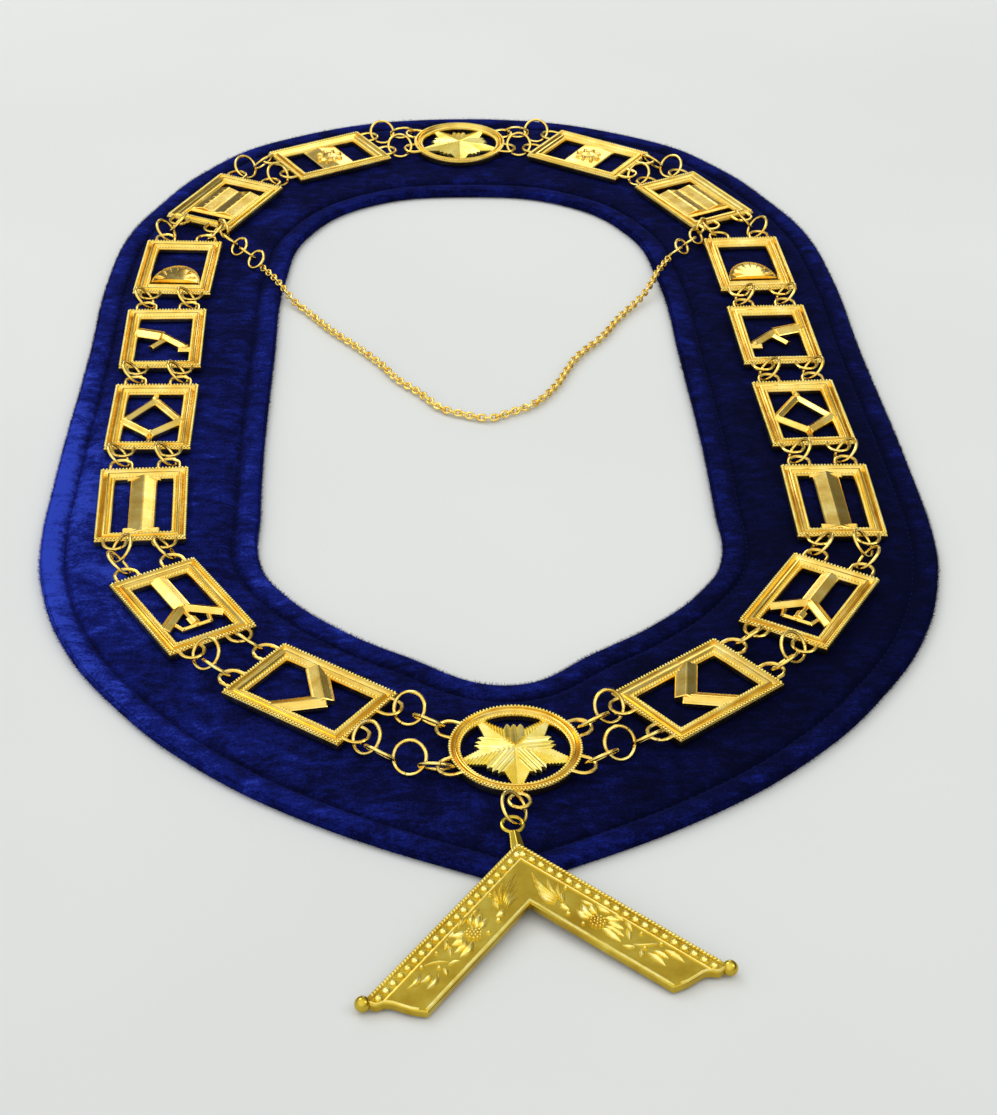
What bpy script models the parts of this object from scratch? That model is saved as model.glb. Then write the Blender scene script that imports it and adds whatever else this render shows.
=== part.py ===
import math

import bmesh
import bpy
from mathutils import Matrix, Vector

MM = 0.001

# velvet collar
COLLAR_LENGTH = 439.0 * MM
COLLAR_HALF_WIDTH = 128.4 * MM
OPENING_HALF_WIDTH = 66.5 * MM
COLLAR_SHIFT = 1.5 * MM
COLLAR_TIP_Y = -67.6 * MM
VELVET_THICKNESS = 3.0 * MM
VELVET_EDGE = 1.1 * MM

# link plates
PLATE_LENGTH = 38.0 * MM
PLATE_WIDTH = 26.1 * MM
PLATE_BORDER = 4.7 * MM
PLATE_HEIGHT = 2.6 * MM
PLATE_BASE = VELVET_THICKNESS + 0.8 * MM
FIGURE_BASE = 0.2 * MM
SETTING_OVERLAP = 0.5 * MM

# disc links
DISC_OUTER = 34.0 * MM
DISC_BORDER = 3.3 * MM
DISC_X = 3.8 * MM
DISC_Y = -21.0 * MM
FAR_DISC_LIFT = 1.3 * MM
DISC_LOOP_ANGLE = 24.5
FAR_INNER_LOOP_ANGLE = 18.0
DISC_SEGMENTS = 28
STAR_SHORT_RAY = 10.5 * MM
STAR_NOTCH = 5.6 * MM

# wire loops on the plates and the discs
LOOP_WIRE = 1.1 * MM
LOOP_HALF_WIDTH = 3.2 * MM
LOOP_REACH = 4.7 * MM
DISC_LOOP_REACH = 4.4 * MM
LOOP_OFFSET = 7.0 * MM
LOOP_ROOT = 0.6 * MM
LOOP_BENDS = 3
LOOP_HEIGHT = PLATE_BASE + 2.0 * MM
DROP_LOOP_HALF_WIDTH = 2.6 * MM
DROP_LOOP_REACH = 6.6 * MM

# jump rings
RING_OUTER = 9.6 * MM
RING_WIRE = 1.0 * MM
RING_TILT = 49.0
RING_CLEARANCE = 0.2 * MM
RING_PITCH_OVERLAP = 0.07 * MM
TAUT_CLEARANCE = 0.75 * MM
HOOK_SHIFT = 1.2 * MM
RING_SEGMENTS = 10
WIRE_SEGMENTS = 5

# square jewel
JEWEL_APEX_X = 2.4 * MM
JEWEL_APEX_Y = -57.3 * MM
JEWEL_TURN = 6.3
JEWEL_ANGLE = 86.0
ARM_LENGTH = 61.5 * MM
ARM_INNER_LENGTH = 55.4 * MM
ARM_WIDTH = 13.6 * MM
JEWEL_THICKNESS = 2.2 * MM
JEWEL_RIM = 1.36 * MM
JEWEL_BEVEL = 0.1 * MM
BALL_DIAMETER = 3.8 * MM
BAIL_OUTER = 6.3 * MM
BAIL_WIRE = 1.1 * MM
BAIL_DISTANCE = 6.9 * MM
REST_GAP = 0.3 * MM

# chain across the opening
HOOK_JUNCTION = 7
CHAIN_DIAMETER = 2.5 * MM
CHAIN_SIDES = 8
CHAIN_SEGMENTS = 37
CHAIN_REST = 0.15 * MM
END_RINGS = 5
END_HANG = 1.6 * MM
END_SHIFT = 0.3 * MM
END_TILT = 45.0
END_RING_WIRE = 1.0 * MM

RING_RADIUS = (RING_OUTER - RING_WIRE) / 2
RING_SINE = math.sin(math.radians(RING_TILT))
RING_CENTRE = VELVET_THICKNESS + RING_CLEARANCE + RING_WIRE / 2 + RING_RADIUS * RING_SINE
RING_RISE = RING_CENTRE - LOOP_HEIGHT
RING_SHIFT = RING_RISE / math.tan(math.radians(RING_TILT))
RING_HALF = math.sqrt(RING_RADIUS ** 2 - (RING_RISE / RING_SINE) ** 2)
RING_PITCH = 2 * RING_HALF - RING_WIRE + RING_PITCH_OVERLAP
RING_TAUT = RING_HALF - (RING_WIRE + LOOP_WIRE) / 2 - TAUT_CLEARANCE
RING_SLACK_LEAST = 0.4 * MM
RING_STRETCH = 0.6 * MM
OPENING_X = PLATE_WIDTH / 2 - PLATE_BORDER
OPENING_Y = PLATE_LENGTH / 2 - PLATE_BORDER

# outline of the collar: shares of the half width and of the length from the tip
COLLAR_OUTLINE = (
    (0.000, 1.000), (0.560, 0.952), (0.755, 0.891), (0.858, 0.833), (0.928, 0.779),
    (0.964, 0.700), (0.974, 0.581), (0.996, 0.413), (0.996, 0.324), (0.980, 0.289),
    (0.910, 0.224), (0.783, 0.163), (0.613, 0.107), (0.370, 0.054), (0.000, 0.000),
)
OPENING_OUTLINE = (
    (0.000, 0.852), (0.540, 0.834), (0.850, 0.779), (0.960, 0.699), (0.988, 0.580),
    (1.000, 0.370), (0.975, 0.303), (0.866, 0.272), (0.674, 0.240), (0.391, 0.208),
    (0.040, 0.176),
)

# moulding of a frame: share of its border across, share of its height
MOULDING = (
    (0.000, 0.000), (0.000, 0.980), (0.200, 1.000), (0.290, 0.740),
    (0.520, 1.000), (0.740, 0.800), (1.000, 0.660), (1.000, 0.000),
)

# each side's walk from the front disc:
# figure, heading of the plate, bearing of the gap before it, rings inside, pull of that run
LEFT_WALK = (
    ("chevron", 53.1, 71.5, 2, 0.96),
    ("branch", 29.9, 42.2, 1, 0.95),
    ("column", 2.4, 16.0, 1, 0.85),
    ("lozenge", -0.5, 1.4, 1, 0.35),
    ("trowel", 0.3, 1.0, 1, 0.43),
    ("dome", -3.2, -2.0, 1, 0.44),
    ("book", -27.0, -14.5, 1, 0.66),
    ("rosette", -60.8, -42.5, 1, 0.76),
)
RIGHT_WALK = (
    ("chevron", 51.7, 71.3, 2, 0.22),
    ("branch", 31.7, 42.5, 1, 0.85),
    ("column", 0.3, 15.0, 1, 0.65),
    ("lozenge", -2.5, -3.0, 1, 0.50),
    ("trowel", -1.7, -3.0, 1, 0.62),
    ("dome", -2.7, -1.8, 1, 0.60),
    ("book", -28.1, -14.8, 1, 0.62),
    ("rosette", -56.3, -43.0, 1, 0.60),
)

# ridged bars of each figure: ends as shares of the opening's half sizes,
# width as a share of its half width, height of the ridge as a share of the plate's height
BARS = {
    "chevron": (
        (1.20, 0.36, -0.06, -0.34, 0.62, 0.85), (-1.20, 0.40, 0.06, -0.34, 0.70, 1.00),
    ),
    "branch": (
        (0.00, 1.05, 0.00, -0.04, 0.62, 0.90), (0.00, 0.03, 1.08, -0.52, 0.42, 0.80),
        (0.00, 0.03, -1.08, -0.52, 0.42, 0.80), (-0.50, -0.62, 0.50, -0.62, 0.16, 0.50),
        (0.00, -0.10, 0.00, -0.66, 0.16, 0.50), (0.00, -0.36, 0.00, -0.58, 0.34, 0.70),
        (-0.62, -0.36, -0.48, -0.66, 0.16, 0.50), (0.62, -0.36, 0.48, -0.66, 0.16, 0.50),
    ),
    "column": (
        (0.00, -1.05, 0.00, 1.05, 0.92, 0.98), (-0.62, -0.90, 0.62, -0.90, 0.34, 0.74),
    ),
    "lozenge": (
        (0.00, 0.74, 0.98, -0.08, 0.34, 0.80), (0.00, 0.74, -0.98, -0.08, 0.34, 0.80),
        (0.00, -0.68, 1.06, -0.12, 0.40, 0.95), (0.00, -0.68, -1.06, -0.12, 0.40, 0.95),
        (0.00, 0.52, 0.00, 1.06, 0.20, 0.60), (0.00, -0.58, 0.00, -1.06, 0.20, 0.60),
    ),
    "trowel": (
        (1.10, 0.36, 0.08, 0.16, 0.66, 0.95), (0.10, 0.22, -0.86, -0.34, 0.38, 0.80),
        (-0.60, -0.42, -1.10, -0.42, 0.36, 0.70), (0.00, 0.02, 0.46, -0.34, 0.26, 0.70),
    ),
    "dome": (
        (-1.06, -0.88, 1.06, -0.88, 0.40, 0.70),
    ),
    "book": (
        (-0.52, -0.62, -0.52, 0.70, 1.08, 0.95), (0.52, -0.62, 0.52, 0.70, 1.08, 0.95),
    ),
    "rosette": (
        (-1.06, 0.00, 1.06, 0.00, 1.52, 0.62),
    ),
}

# mounds: centre as shares of the opening's half sizes, radii as shares of its half width,
# share of the circle that is left, heights of the edge and of the top
MOUNDS = {
    "dome": ((0.00, -0.62, 1.02, 1.86, 0.5, 0.40, 0.95),),
    "rosette": ((0.00, 0.00, 0.55, 0.55, 1.0, 0.66, 1.05),),
}

# the cross chain's chosen points, x, y and height above what it lies on
CHAIN_ROUTE = (
    (-69.8, 243.0, 3.2), (-66.0, 236.4, 3.2), (-62.6, 229.6, 2.7), (-58.6, 223.0, 0.9),
    (-54.3, 217.8, 0.0),
    (-46.5, 205.2, 0.0), (-38.0, 193.9, 0.0), (-30.0, 182.2, 0.0), (-24.6, 172.2, 0.0),
    (-17.6, 163.4, 0.0), (-11.6, 154.6, 0.0), (-5.4, 150.6, 0.0), (3.4, 147.6, 0.0),
    (10.0, 150.6, 0.0), (18.6, 156.4, 0.0), (25.8, 167.2, 0.0), (33.6, 185.2, 0.0),
    (42.8, 198.6, 0.0), (49.6, 211.6, 0.0), (57.4, 223.4, 0.6), (61.8, 230.6, 2.4),
    (65.4, 239.4, 3.2), (69.6, 248.0, 3.2),
)

for thing in list(bpy.data.objects):
    bpy.data.objects.remove(thing, do_unlink=True)
collection = bpy.data.collections.new("chain of office")
bpy.context.scene.collection.children.link(collection)

# finishes: colour, metallic, roughness
FINISHES = {
    "royal blue velvet": ((0.012, 0.02, 0.16), 0.0, 0.9),
    "gilt metal": ((0.83, 0.55, 0.12), 1.0, 0.25),
}


def material(name, finish):
    """A finish of its own for one piece."""
    colour, metallic, roughness = FINISHES[finish]
    made = bpy.data.materials.new(f"{finish}, {name}")
    made.use_nodes = True
    shader = made.node_tree.nodes["Principled BSDF"]
    shader.inputs["Base Color"].default_value = (*colour, 1.0)
    shader.inputs["Metallic"].default_value = metallic
    shader.inputs["Roughness"].default_value = roughness
    return made


def mesh_object(name, bm, finish=None):
    bmesh.ops.recalc_face_normals(bm, faces=bm.faces)
    mesh = bpy.data.meshes.new(name)
    bm.to_mesh(mesh)
    bm.free()
    thing = bpy.data.objects.new(name, mesh)
    collection.objects.link(thing)
    if finish:
        mesh.materials.append(material(name, finish))
    return thing


def fuse(name, parts, finish):
    """Unite the parts into one closed body."""
    base = parts[0]
    for part in parts[1:]:
        joined = base.modifiers.new("joined", "BOOLEAN")
        joined.operation = "UNION"
        joined.solver = "EXACT"
        joined.object = part
    seen = base.evaluated_get(bpy.context.evaluated_depsgraph_get())
    mesh = bpy.data.meshes.new_from_object(seen)
    for part in parts:
        bpy.data.objects.remove(part, do_unlink=True)
    bm = bmesh.new()
    bm.from_mesh(mesh)
    bmesh.ops.remove_doubles(bm, verts=bm.verts, dist=0.01 * MM)
    bmesh.ops.dissolve_degenerate(bm, edges=bm.edges, dist=0.005 * MM)
    bpy.data.meshes.remove(mesh)
    return mesh_object(name, bm, finish)


def skin(bm, loops, closed):
    """Join loops of points of the same count with quads."""
    rows = [[bm.verts.new(point) for point in loop] for loop in loops]
    pairs = list(zip(rows, rows[1:]))
    if closed:
        pairs.append((rows[-1], rows[0]))
    for low, high in pairs:
        for i in range(len(low)):
            bm.faces.new((low[i - 1], low[i], high[i], high[i - 1]))
    return rows


def direction(degrees):
    """Away from the front disc at 0 degrees, outwards at 90."""
    return Vector((math.sin(math.radians(degrees)), math.cos(math.radians(degrees)), 0))


def outward(degrees):
    return direction(degrees + 90)


def side_point(point, side):
    return Vector((side * point.x, point.y, point.z))


# moulded frames
def moulded_frame(name, outline, border):
    bm = bmesh.new()
    loops = []
    for across, up in MOULDING:
        loops.append([(x, y, up * PLATE_HEIGHT) for x, y in outline(across * border)])
    skin(bm, loops, True)
    return mesh_object(name, bm)


def plate_outline(inset):
    x = PLATE_WIDTH / 2 - inset
    y = PLATE_LENGTH / 2 - inset
    return (-x, -y), (x, -y), (x, y), (-x, y)


def disc_outline(inset):
    radius = DISC_OUTER / 2 - inset
    turns = [2 * math.pi * i / DISC_SEGMENTS for i in range(DISC_SEGMENTS)]
    return [(radius * math.cos(a), radius * math.sin(a)) for a in turns]


def wire_along(name, points, diameter, sides):
    """A round wire through a flat row of points, capped at both ends."""
    bm = bmesh.new()
    loops = []
    for i, point in enumerate(points):
        before = points[max(i - 1, 0)]
        after = points[min(i + 1, len(points) - 1)]
        along = (after - before).normalized()
        if 0 < i < len(points) - 1:
            turned = (point - before).angle(after - point, 0)
            stretch = 1 / math.cos(turned / 2)
        else:
            stretch = 1
        across = Vector((-along.y, along.x, 0)) * stretch
        loop = []
        for k in range(sides):
            a = 2 * math.pi * (k + 0.5) / sides
            loop.append(point + (across * math.cos(a) + Vector((0, 0, math.sin(a)))) * diameter / 2)
        loops.append(loop)
    rows = skin(bm, loops, False)
    bm.faces.new(rows[0])
    bm.faces.new(rows[-1])
    return mesh_object(name, bm)


def wire_loop(name, foot, way, half_width, reach):
    """A U of wire that leaves an edge at foot, in the direction of way."""
    aside = Vector((-way.y, way.x, 0))
    height = Vector((0, 0, LOOP_HEIGHT - PLATE_BASE))
    points = [foot + height - way * LOOP_ROOT - aside * half_width]
    bow = half_width / math.cos(math.pi / 6)
    for i in range(LOOP_BENDS + 1):
        a = math.pi * i / LOOP_BENDS
        rise = bow * math.sin(a) if 0 < i < LOOP_BENDS else 0
        bend = -aside * math.cos(a) * half_width + way * rise
        points.append(foot + height + way * (reach - half_width) + bend)
    points.append(foot + height - way * LOOP_ROOT + aside * half_width)
    return wire_along(name, points, LOOP_WIRE, WIRE_SEGMENTS)


def ridged_bar(name, start, end, width, edge, ridge):
    """A bar with a roof shaped top from start to end."""
    along = (end - start).normalized()
    aside = Vector((-along.y, along.x, 0)) * width / 2
    loops = []
    for place in (start, end):
        loops.append([
            place - aside, place + aside, place + aside + Vector((0, 0, edge)),
            place + Vector((0, 0, ridge)), place - aside + Vector((0, 0, edge)),
        ])
    bm = bmesh.new()
    rows = skin(bm, loops, False)
    bm.faces.new(rows[0])
    bm.faces.new(rows[1])
    return mesh_object(name, bm)


def mound(name, centre, radius_x, radius_y, share, edge, top):
    """A low cushion on a full or a half ellipse."""
    count = 16 if share == 1.0 else 12
    turns = [2 * math.pi * share * i / count for i in range(count + (share != 1.0))]
    bm = bmesh.new()
    loops = []
    middle = centre + Vector((0, radius_y * (1 - share) * 0.4, 0))
    for scale, up in ((1, 0), (1, edge), (0.62, edge + (top - edge) * 0.75)):
        loop = []
        for a in turns:
            rim = centre + Vector((radius_x * math.cos(a), radius_y * math.sin(a), 0))
            loop.append(middle + (rim - middle) * scale + Vector((0, 0, up)))
        loops.append(loop)
    rows = skin(bm, loops, False)
    bm.faces.new(rows[0])
    peak = bm.verts.new(middle + Vector((0, 0, top)))
    last = rows[-1]
    for i in range(len(last)):
        bm.faces.new((last[i - 1], last[i], peak))
    return mesh_object(name, bm)


def figure_parts(figure):
    parts = []
    for x0, y0, x1, y1, width, ridge in BARS[figure]:
        start = Vector((x0 * OPENING_X, y0 * OPENING_Y, FIGURE_BASE))
        end = Vector((x1 * OPENING_X, y1 * OPENING_Y, FIGURE_BASE))
        top = ridge * PLATE_HEIGHT - FIGURE_BASE
        parts.append(ridged_bar("bar", start, end, width * OPENING_X, top * 0.6, top))
    for x, y, wide, high, share, edge, top in MOUNDS.get(figure, ()):
        centre = Vector((x * OPENING_X, y * OPENING_Y, FIGURE_BASE))
        parts.append(mound(
            "mound", centre, wide * OPENING_X, high * OPENING_X, share,
            edge * PLATE_HEIGHT, top * PLATE_HEIGHT,
        ))
    return parts


def link_plate(name, figure, side, centre, heading):
    parts = [moulded_frame("frame", plate_outline, PLATE_BORDER)]
    parts += figure_parts(figure)
    for end in (-1, 1):
        for place in (-1, 1):
            foot = Vector((place * LOOP_OFFSET, end * PLATE_LENGTH / 2, 0))
            way = Vector((0, end, 0))
            parts.append(wire_loop("loop", foot, way, LOOP_HALF_WIDTH, LOOP_REACH))
    plate = fuse(name, parts, "gilt metal")
    plate.data.transform(Matrix.Diagonal((side, 1, 1, 1)))
    if side < 0:
        plate.data.flip_normals()
    plate.rotation_euler.z = -side * math.radians(heading)
    plate.location = side_point(centre, side) + Vector((0, 0, PLATE_BASE))
    return plate


def star(name):
    """Ten rays with ridges, every second one reaching the ring."""
    long_ray = DISC_OUTER / 2 - DISC_BORDER + SETTING_OVERLAP
    bm = bmesh.new()
    low = []
    high = []
    for i in range(20):
        a = math.radians(-90 + 18 * i)
        radius = (long_ray, STAR_NOTCH, STAR_SHORT_RAY, STAR_NOTCH)[i % 4]
        point = Vector((radius * math.cos(a), radius * math.sin(a), FIGURE_BASE))
        low.append(point)
        high.append(point + Vector((0, 0, PLATE_HEIGHT * (0.34, 0.24, 0.30, 0.24)[i % 4])))
    rows = skin(bm, (low, high), False)
    bm.faces.new(rows[0])
    peak = bm.verts.new((0, 0, PLATE_HEIGHT * 0.95))
    for i in range(20):
        bm.faces.new((rows[1][i - 1], rows[1][i], peak))
    return mesh_object(name, bm)


def disc_link(name, centre, near_angle, drop_loop):
    parts = [moulded_frame("ring", disc_outline, DISC_BORDER), star("star")]
    for turn in (DISC_LOOP_ANGLE, 180 - DISC_LOOP_ANGLE, 180 + near_angle, -near_angle):
        way = Vector((math.cos(math.radians(turn)), math.sin(math.radians(turn)), 0))
        foot = way * DISC_OUTER / 2
        parts.append(wire_loop("loop", foot, way, LOOP_HALF_WIDTH, DISC_LOOP_REACH))
    if drop_loop:
        way = Vector((0, -1, 0))
        foot = way * DISC_OUTER / 2
        parts.append(wire_loop("loop", foot, way, DROP_LOOP_HALF_WIDTH, DROP_LOOP_REACH))
    disc = fuse(name, parts, "gilt metal")
    disc.location = centre + Vector((0, 0, PLATE_BASE))
    return disc


def disc_loop_point(centre, angle):
    """Middle of a disc's side loop, in the mirrored plan."""
    reach = DISC_OUTER / 2 + DISC_LOOP_REACH - LOOP_HALF_WIDTH
    a = math.radians(angle)
    return centre + Vector((math.cos(a), math.sin(a), 0)) * reach


def plate_loop_point(centre, heading, end, place):
    """Middle of a plate's loop: end 1 is far, minus 1 near; place 1 outside, minus 1 inside."""
    along = direction(heading) * end * (PLATE_LENGTH / 2 + LOOP_REACH - LOOP_HALF_WIDTH)
    return centre + along + outward(heading) * place * LOOP_OFFSET


def ring(name, centre, line, tilt, radius, wire):
    """A round wire ring whose plane holds line and leans by tilt."""
    aside = Vector((0, 0, 1)).cross(line).normalized()
    leaning = (aside * math.cos(tilt) + line.cross(aside) * math.sin(tilt)).normalized()
    bpy.ops.mesh.primitive_torus_add(
        major_segments=RING_SEGMENTS, minor_segments=WIRE_SEGMENTS,
        major_radius=radius, minor_radius=wire / 2,
    )
    torus = bpy.context.object
    torus.name = name
    torus.data.name = name
    for holder in torus.users_collection:
        holder.objects.unlink(torus)
    collection.objects.link(torus)
    turned = Matrix((line, leaning, line.cross(leaning))).transposed().to_4x4()
    torus.data.transform(Matrix.Translation(centre) @ turned)
    return torus


def run_headings(distance, count, least):
    """Turn between the steps of a run and the length of its first and last step."""
    middle = (count - 1) * RING_PITCH
    ends = (distance - middle) / 2
    if ends >= least:
        return 0.0, ends
    low = 0.0
    high = math.radians(60)
    steps = [least] + [RING_PITCH] * (count - 1) + [least]
    for _ in range(40):
        turn = (low + high) / 2
        span = sum(s * math.cos(turn * (j - (len(steps) - 1) / 2)) for j, s in enumerate(steps))
        if span > distance:
            low = turn
        else:
            high = turn
    return turn, least


def run_of_rings(name, start, end, lean, hooked=False):
    """Rings from one loop's bow to another's, each hooked into the next."""
    line = end - start
    distance = line.length
    slack = distance - 2 * LOOP_HALF_WIDTH
    line.normalize()
    count = 1
    while slack > (count - 1) * RING_PITCH + 2 * RING_TAUT + RING_STRETCH:
        count += 1
    turn, ends = run_headings(distance, count, LOOP_HALF_WIDTH + RING_SLACK_LEAST)
    turn *= -lean
    place = start.copy()
    parts = []
    tilt = math.radians(RING_TILT)
    shift = RING_SHIFT + (HOOK_SHIFT if hooked else 0)
    for i in range(count):
        step = ends if i == 0 else RING_PITCH
        heading = turn * (i - count / 2)
        place = place + Matrix.Rotation(heading, 3, "Z") @ line * step
        sense = lean * (-1) ** i
        way = Matrix.Rotation(turn * (i - (count - 1) / 2), 3, "Z") @ line
        raised_side = Vector((0, 0, 1)).cross(way) * sense
        centre = place + raised_side * shift
        centre.z = RING_CENTRE
        parts.append(ring("ring", centre, way, sense * tilt, RING_RADIUS, RING_WIRE))
    fuse(name, parts, "gilt metal")


# the square jewel
def jewel_axes():
    turn = math.radians(JEWEL_TURN)
    axis = Vector((math.sin(turn), -math.cos(turn), 0))
    aside = Vector((math.cos(turn), math.sin(turn), 0))
    return axis, aside


def jewel_matrix():
    """From the jewel's own plan, its underside at 0, to where it lies."""
    axis, aside = jewel_axes()
    apex = Vector((JEWEL_APEX_X, JEWEL_APEX_Y, 0))
    half = math.radians(JEWEL_ANGLE / 2)
    tip = Vector((COLLAR_SHIFT, COLLAR_TIP_Y, 0))
    to_tip = (tip - apex).dot(axis)
    to_ball = ARM_LENGTH * math.cos(half)
    ball_drop = (BALL_DIAMETER - JEWEL_THICKNESS) / 2
    top = VELVET_THICKNESS + REST_GAP
    low = ball_drop + REST_GAP / 2
    slope = math.asin((top - low) / (to_ball - to_tip))
    height = top + to_tip * math.tan(slope)
    down = axis * math.cos(slope) - Vector((0, 0, 1)) * math.sin(slope)
    up = aside.cross(down) * -1
    turned = Matrix((aside, -down, up)).transposed().to_4x4()
    return Matrix.Translation(apex + Vector((0, 0, height))) @ turned


def arm_points(side):
    """Outline of one arm: shares of its length and width from the outer corner."""
    half = math.radians(JEWEL_ANGLE / 2)
    along = Vector((side * math.sin(half), -math.cos(half), 0))
    inward = Vector((-side * math.cos(half), -math.sin(half), 0))
    fall = ARM_LENGTH - ARM_INNER_LENGTH
    shares = ((0.0, 0.0), (0.10, 0.22), (0.46, 0.34), (0.60, 0.52), (0.72, 0.74), (1.0, 1.0))
    return [along * (ARM_LENGTH - fall * cut) + inward * ARM_WIDTH * w for cut, w in shares]


def jewel_outline():
    half = math.radians(JEWEL_ANGLE / 2)
    inner = Vector((0, -ARM_WIDTH / math.sin(half), 0))
    right = arm_points(1)
    left = arm_points(-1)
    return [Vector((0, 0, 0))] + right + [inner] + left[::-1]


def inset_outline(points, inset):
    made = []
    for i, point in enumerate(points):
        before = (point - points[i - 1]).normalized()
        after = (points[(i + 1) % len(points)] - point).normalized()
        square_before = Vector((before.y, -before.x, 0))
        square_after = Vector((after.y, -after.x, 0))
        middle = (square_before + square_after).normalized()
        made.append(point + middle * inset / max(middle.dot(square_after), 0.3))
    return made


def jewel():
    outline = jewel_outline()
    thick = JEWEL_THICKNESS
    rim = JEWEL_RIM
    rows = (
        (0.0, 0.0), (0.0, thick * 0.8), (JEWEL_BEVEL, thick), (rim * 0.25, thick),
        (rim * 0.30, thick * 0.72), (rim * 0.9, thick * 0.72), (rim, thick * 0.86),
    )
    bm = bmesh.new()
    loops = []
    for inset, up in rows:
        moved = inset_outline(outline, inset)
        loops.append([point + Vector((0, 0, up)) for point in moved])
    made_rows = skin(bm, loops, False)
    bottom = bm.faces.new(made_rows[0])
    top = bm.faces.new(made_rows[-1])
    bmesh.ops.triangulate(bm, faces=[bottom, top])
    parts = [mesh_object("square", bm)]
    half = math.radians(JEWEL_ANGLE / 2)
    for side in (-1, 1):
        corner = Vector((side * math.sin(half), -math.cos(half), 0)) * ARM_LENGTH
        bm = bmesh.new()
        place = Matrix.Translation(corner + Vector((0, 0, thick / 2)))
        bmesh.ops.create_icosphere(bm, subdivisions=2, radius=BALL_DIAMETER / 2, matrix=place)
        parts.append(mesh_object("ball", bm))
    radius = (BAIL_OUTER - BAIL_WIRE) / 2
    centre = Vector((0, BAIL_DISTANCE, thick / 2))
    parts.append(ring("bail", centre, Vector((0, 1, 0)), 0.0, radius, BAIL_WIRE))
    neck_foot = Vector((0, -JEWEL_RIM * 1.5, thick * 0.15))
    neck_top = Vector((0, BAIL_DISTANCE - radius, thick * 0.15))
    parts.append(ridged_bar("neck", neck_top, neck_foot, BAIL_WIRE * 1.8, thick * 0.5, thick * 0.7))
    square = fuse("square_jewel", parts, "gilt metal")
    square.data.transform(jewel_matrix())


def jewel_ring(front):
    """The jump ring between the front disc's lower loop and the bail."""
    bar = front + Vector((0, -DISC_OUTER / 2 - DROP_LOOP_REACH, 0))
    bail = jewel_matrix() @ Vector((0, BAIL_DISTANCE, JEWEL_THICKNESS / 2))
    flat_bail = Vector((bail.x, bail.y, 0))
    way = (bar - flat_bail).normalized()
    bail_bar = flat_bail + way * (BAIL_OUTER - BAIL_WIRE) / 2
    tilt = math.radians(RING_TILT)
    centre = (bar + bail_bar) / 2
    centre.z = RING_CENTRE
    centre += Vector((0, 0, 1)).cross(way) * RING_SHIFT
    only = ring("jewel_ring", centre, way, tilt, RING_RADIUS, RING_WIRE)
    only.data.materials.append(material("jewel_ring", "gilt metal"))


# the velvet collar
def closed_bezier(curve, points, corners):
    spline = curve.splines.new("BEZIER")
    spline.use_cyclic_u = True
    spline.bezier_points.add(len(points) - 1)
    for i, (x, y) in enumerate(points):
        knot = spline.bezier_points[i]
        knot.co = (x, y, 0)
        kind = "VECTOR" if i in corners else "AUTO"
        knot.handle_left_type = kind
        knot.handle_right_type = kind


def both_halves(half, half_width):
    right = [(x * half_width, y * COLLAR_LENGTH) for x, y in half]
    left = [(-x, y) for x, y in right[1:-1]]
    return right + left[::-1]


def velvet_collar():
    curve = bpy.data.curves.new("collar outline", "CURVE")
    curve.dimensions = "2D"
    curve.fill_mode = "BOTH"
    curve.resolution_u = 3
    curve.extrude = VELVET_THICKNESS / 2 - VELVET_EDGE
    curve.bevel_depth = VELVET_EDGE
    curve.bevel_resolution = 0
    curve.offset = -VELVET_EDGE
    outer = both_halves(COLLAR_OUTLINE, COLLAR_HALF_WIDTH)
    closed_bezier(curve, outer, (len(COLLAR_OUTLINE) - 1,))
    inner = both_halves(OPENING_OUTLINE, OPENING_HALF_WIDTH)
    closed_bezier(curve, inner, ())
    shape = bpy.data.objects.new("collar outline", curve)
    collection.objects.link(shape)
    seen = shape.evaluated_get(bpy.context.evaluated_depsgraph_get())
    mesh = bpy.data.meshes.new_from_object(seen)
    bpy.data.objects.remove(shape, do_unlink=True)
    bm = bmesh.new()
    bm.from_mesh(mesh)
    bmesh.ops.remove_doubles(bm, verts=bm.verts, dist=0.05 * MM)
    place = Vector((COLLAR_SHIFT, COLLAR_TIP_Y, VELVET_THICKNESS / 2))
    bmesh.ops.translate(bm, verts=bm.verts, vec=place)
    bpy.data.meshes.remove(mesh)
    mesh_object("velvet_collar", bm, "royal blue velvet")


# the cross chain
def smooth_route(points, count):
    """Evenly spread points on a curve through the chosen ones."""
    dense = []
    for i in range(len(points) - 1):
        before = points[max(i - 1, 0)]
        after = points[min(i + 2, len(points) - 1)]
        for k in range(8):
            t = k / 8
            a = points[i]
            b = points[i + 1]
            dense.append(0.5 * (
                2 * a + (b - before) * t + (2 * before - 5 * a + 4 * b - after) * t * t
                + (3 * a - before - 3 * b + after) * t ** 3
            ))
    dense.append(points[-1])
    lengths = [0.0]
    for a, b in zip(dense, dense[1:]):
        lengths.append(lengths[-1] + (b - a).length)
    spread = []
    j = 0
    for i in range(count):
        target = lengths[-1] * i / (count - 1)
        while j < len(dense) - 2 and lengths[j + 1] < target:
            j += 1
        share = (target - lengths[j]) / (lengths[j + 1] - lengths[j])
        spread.append(dense[j].lerp(dense[j + 1], share))
    return spread


def chain_route():
    lift = CHAIN_DIAMETER / 2 + CHAIN_REST
    chosen = [Vector((x * MM, y * MM, z * MM + lift)) for x, y, z in CHAIN_ROUTE]
    return smooth_route(chosen, CHAIN_SEGMENTS + 1)


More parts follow.
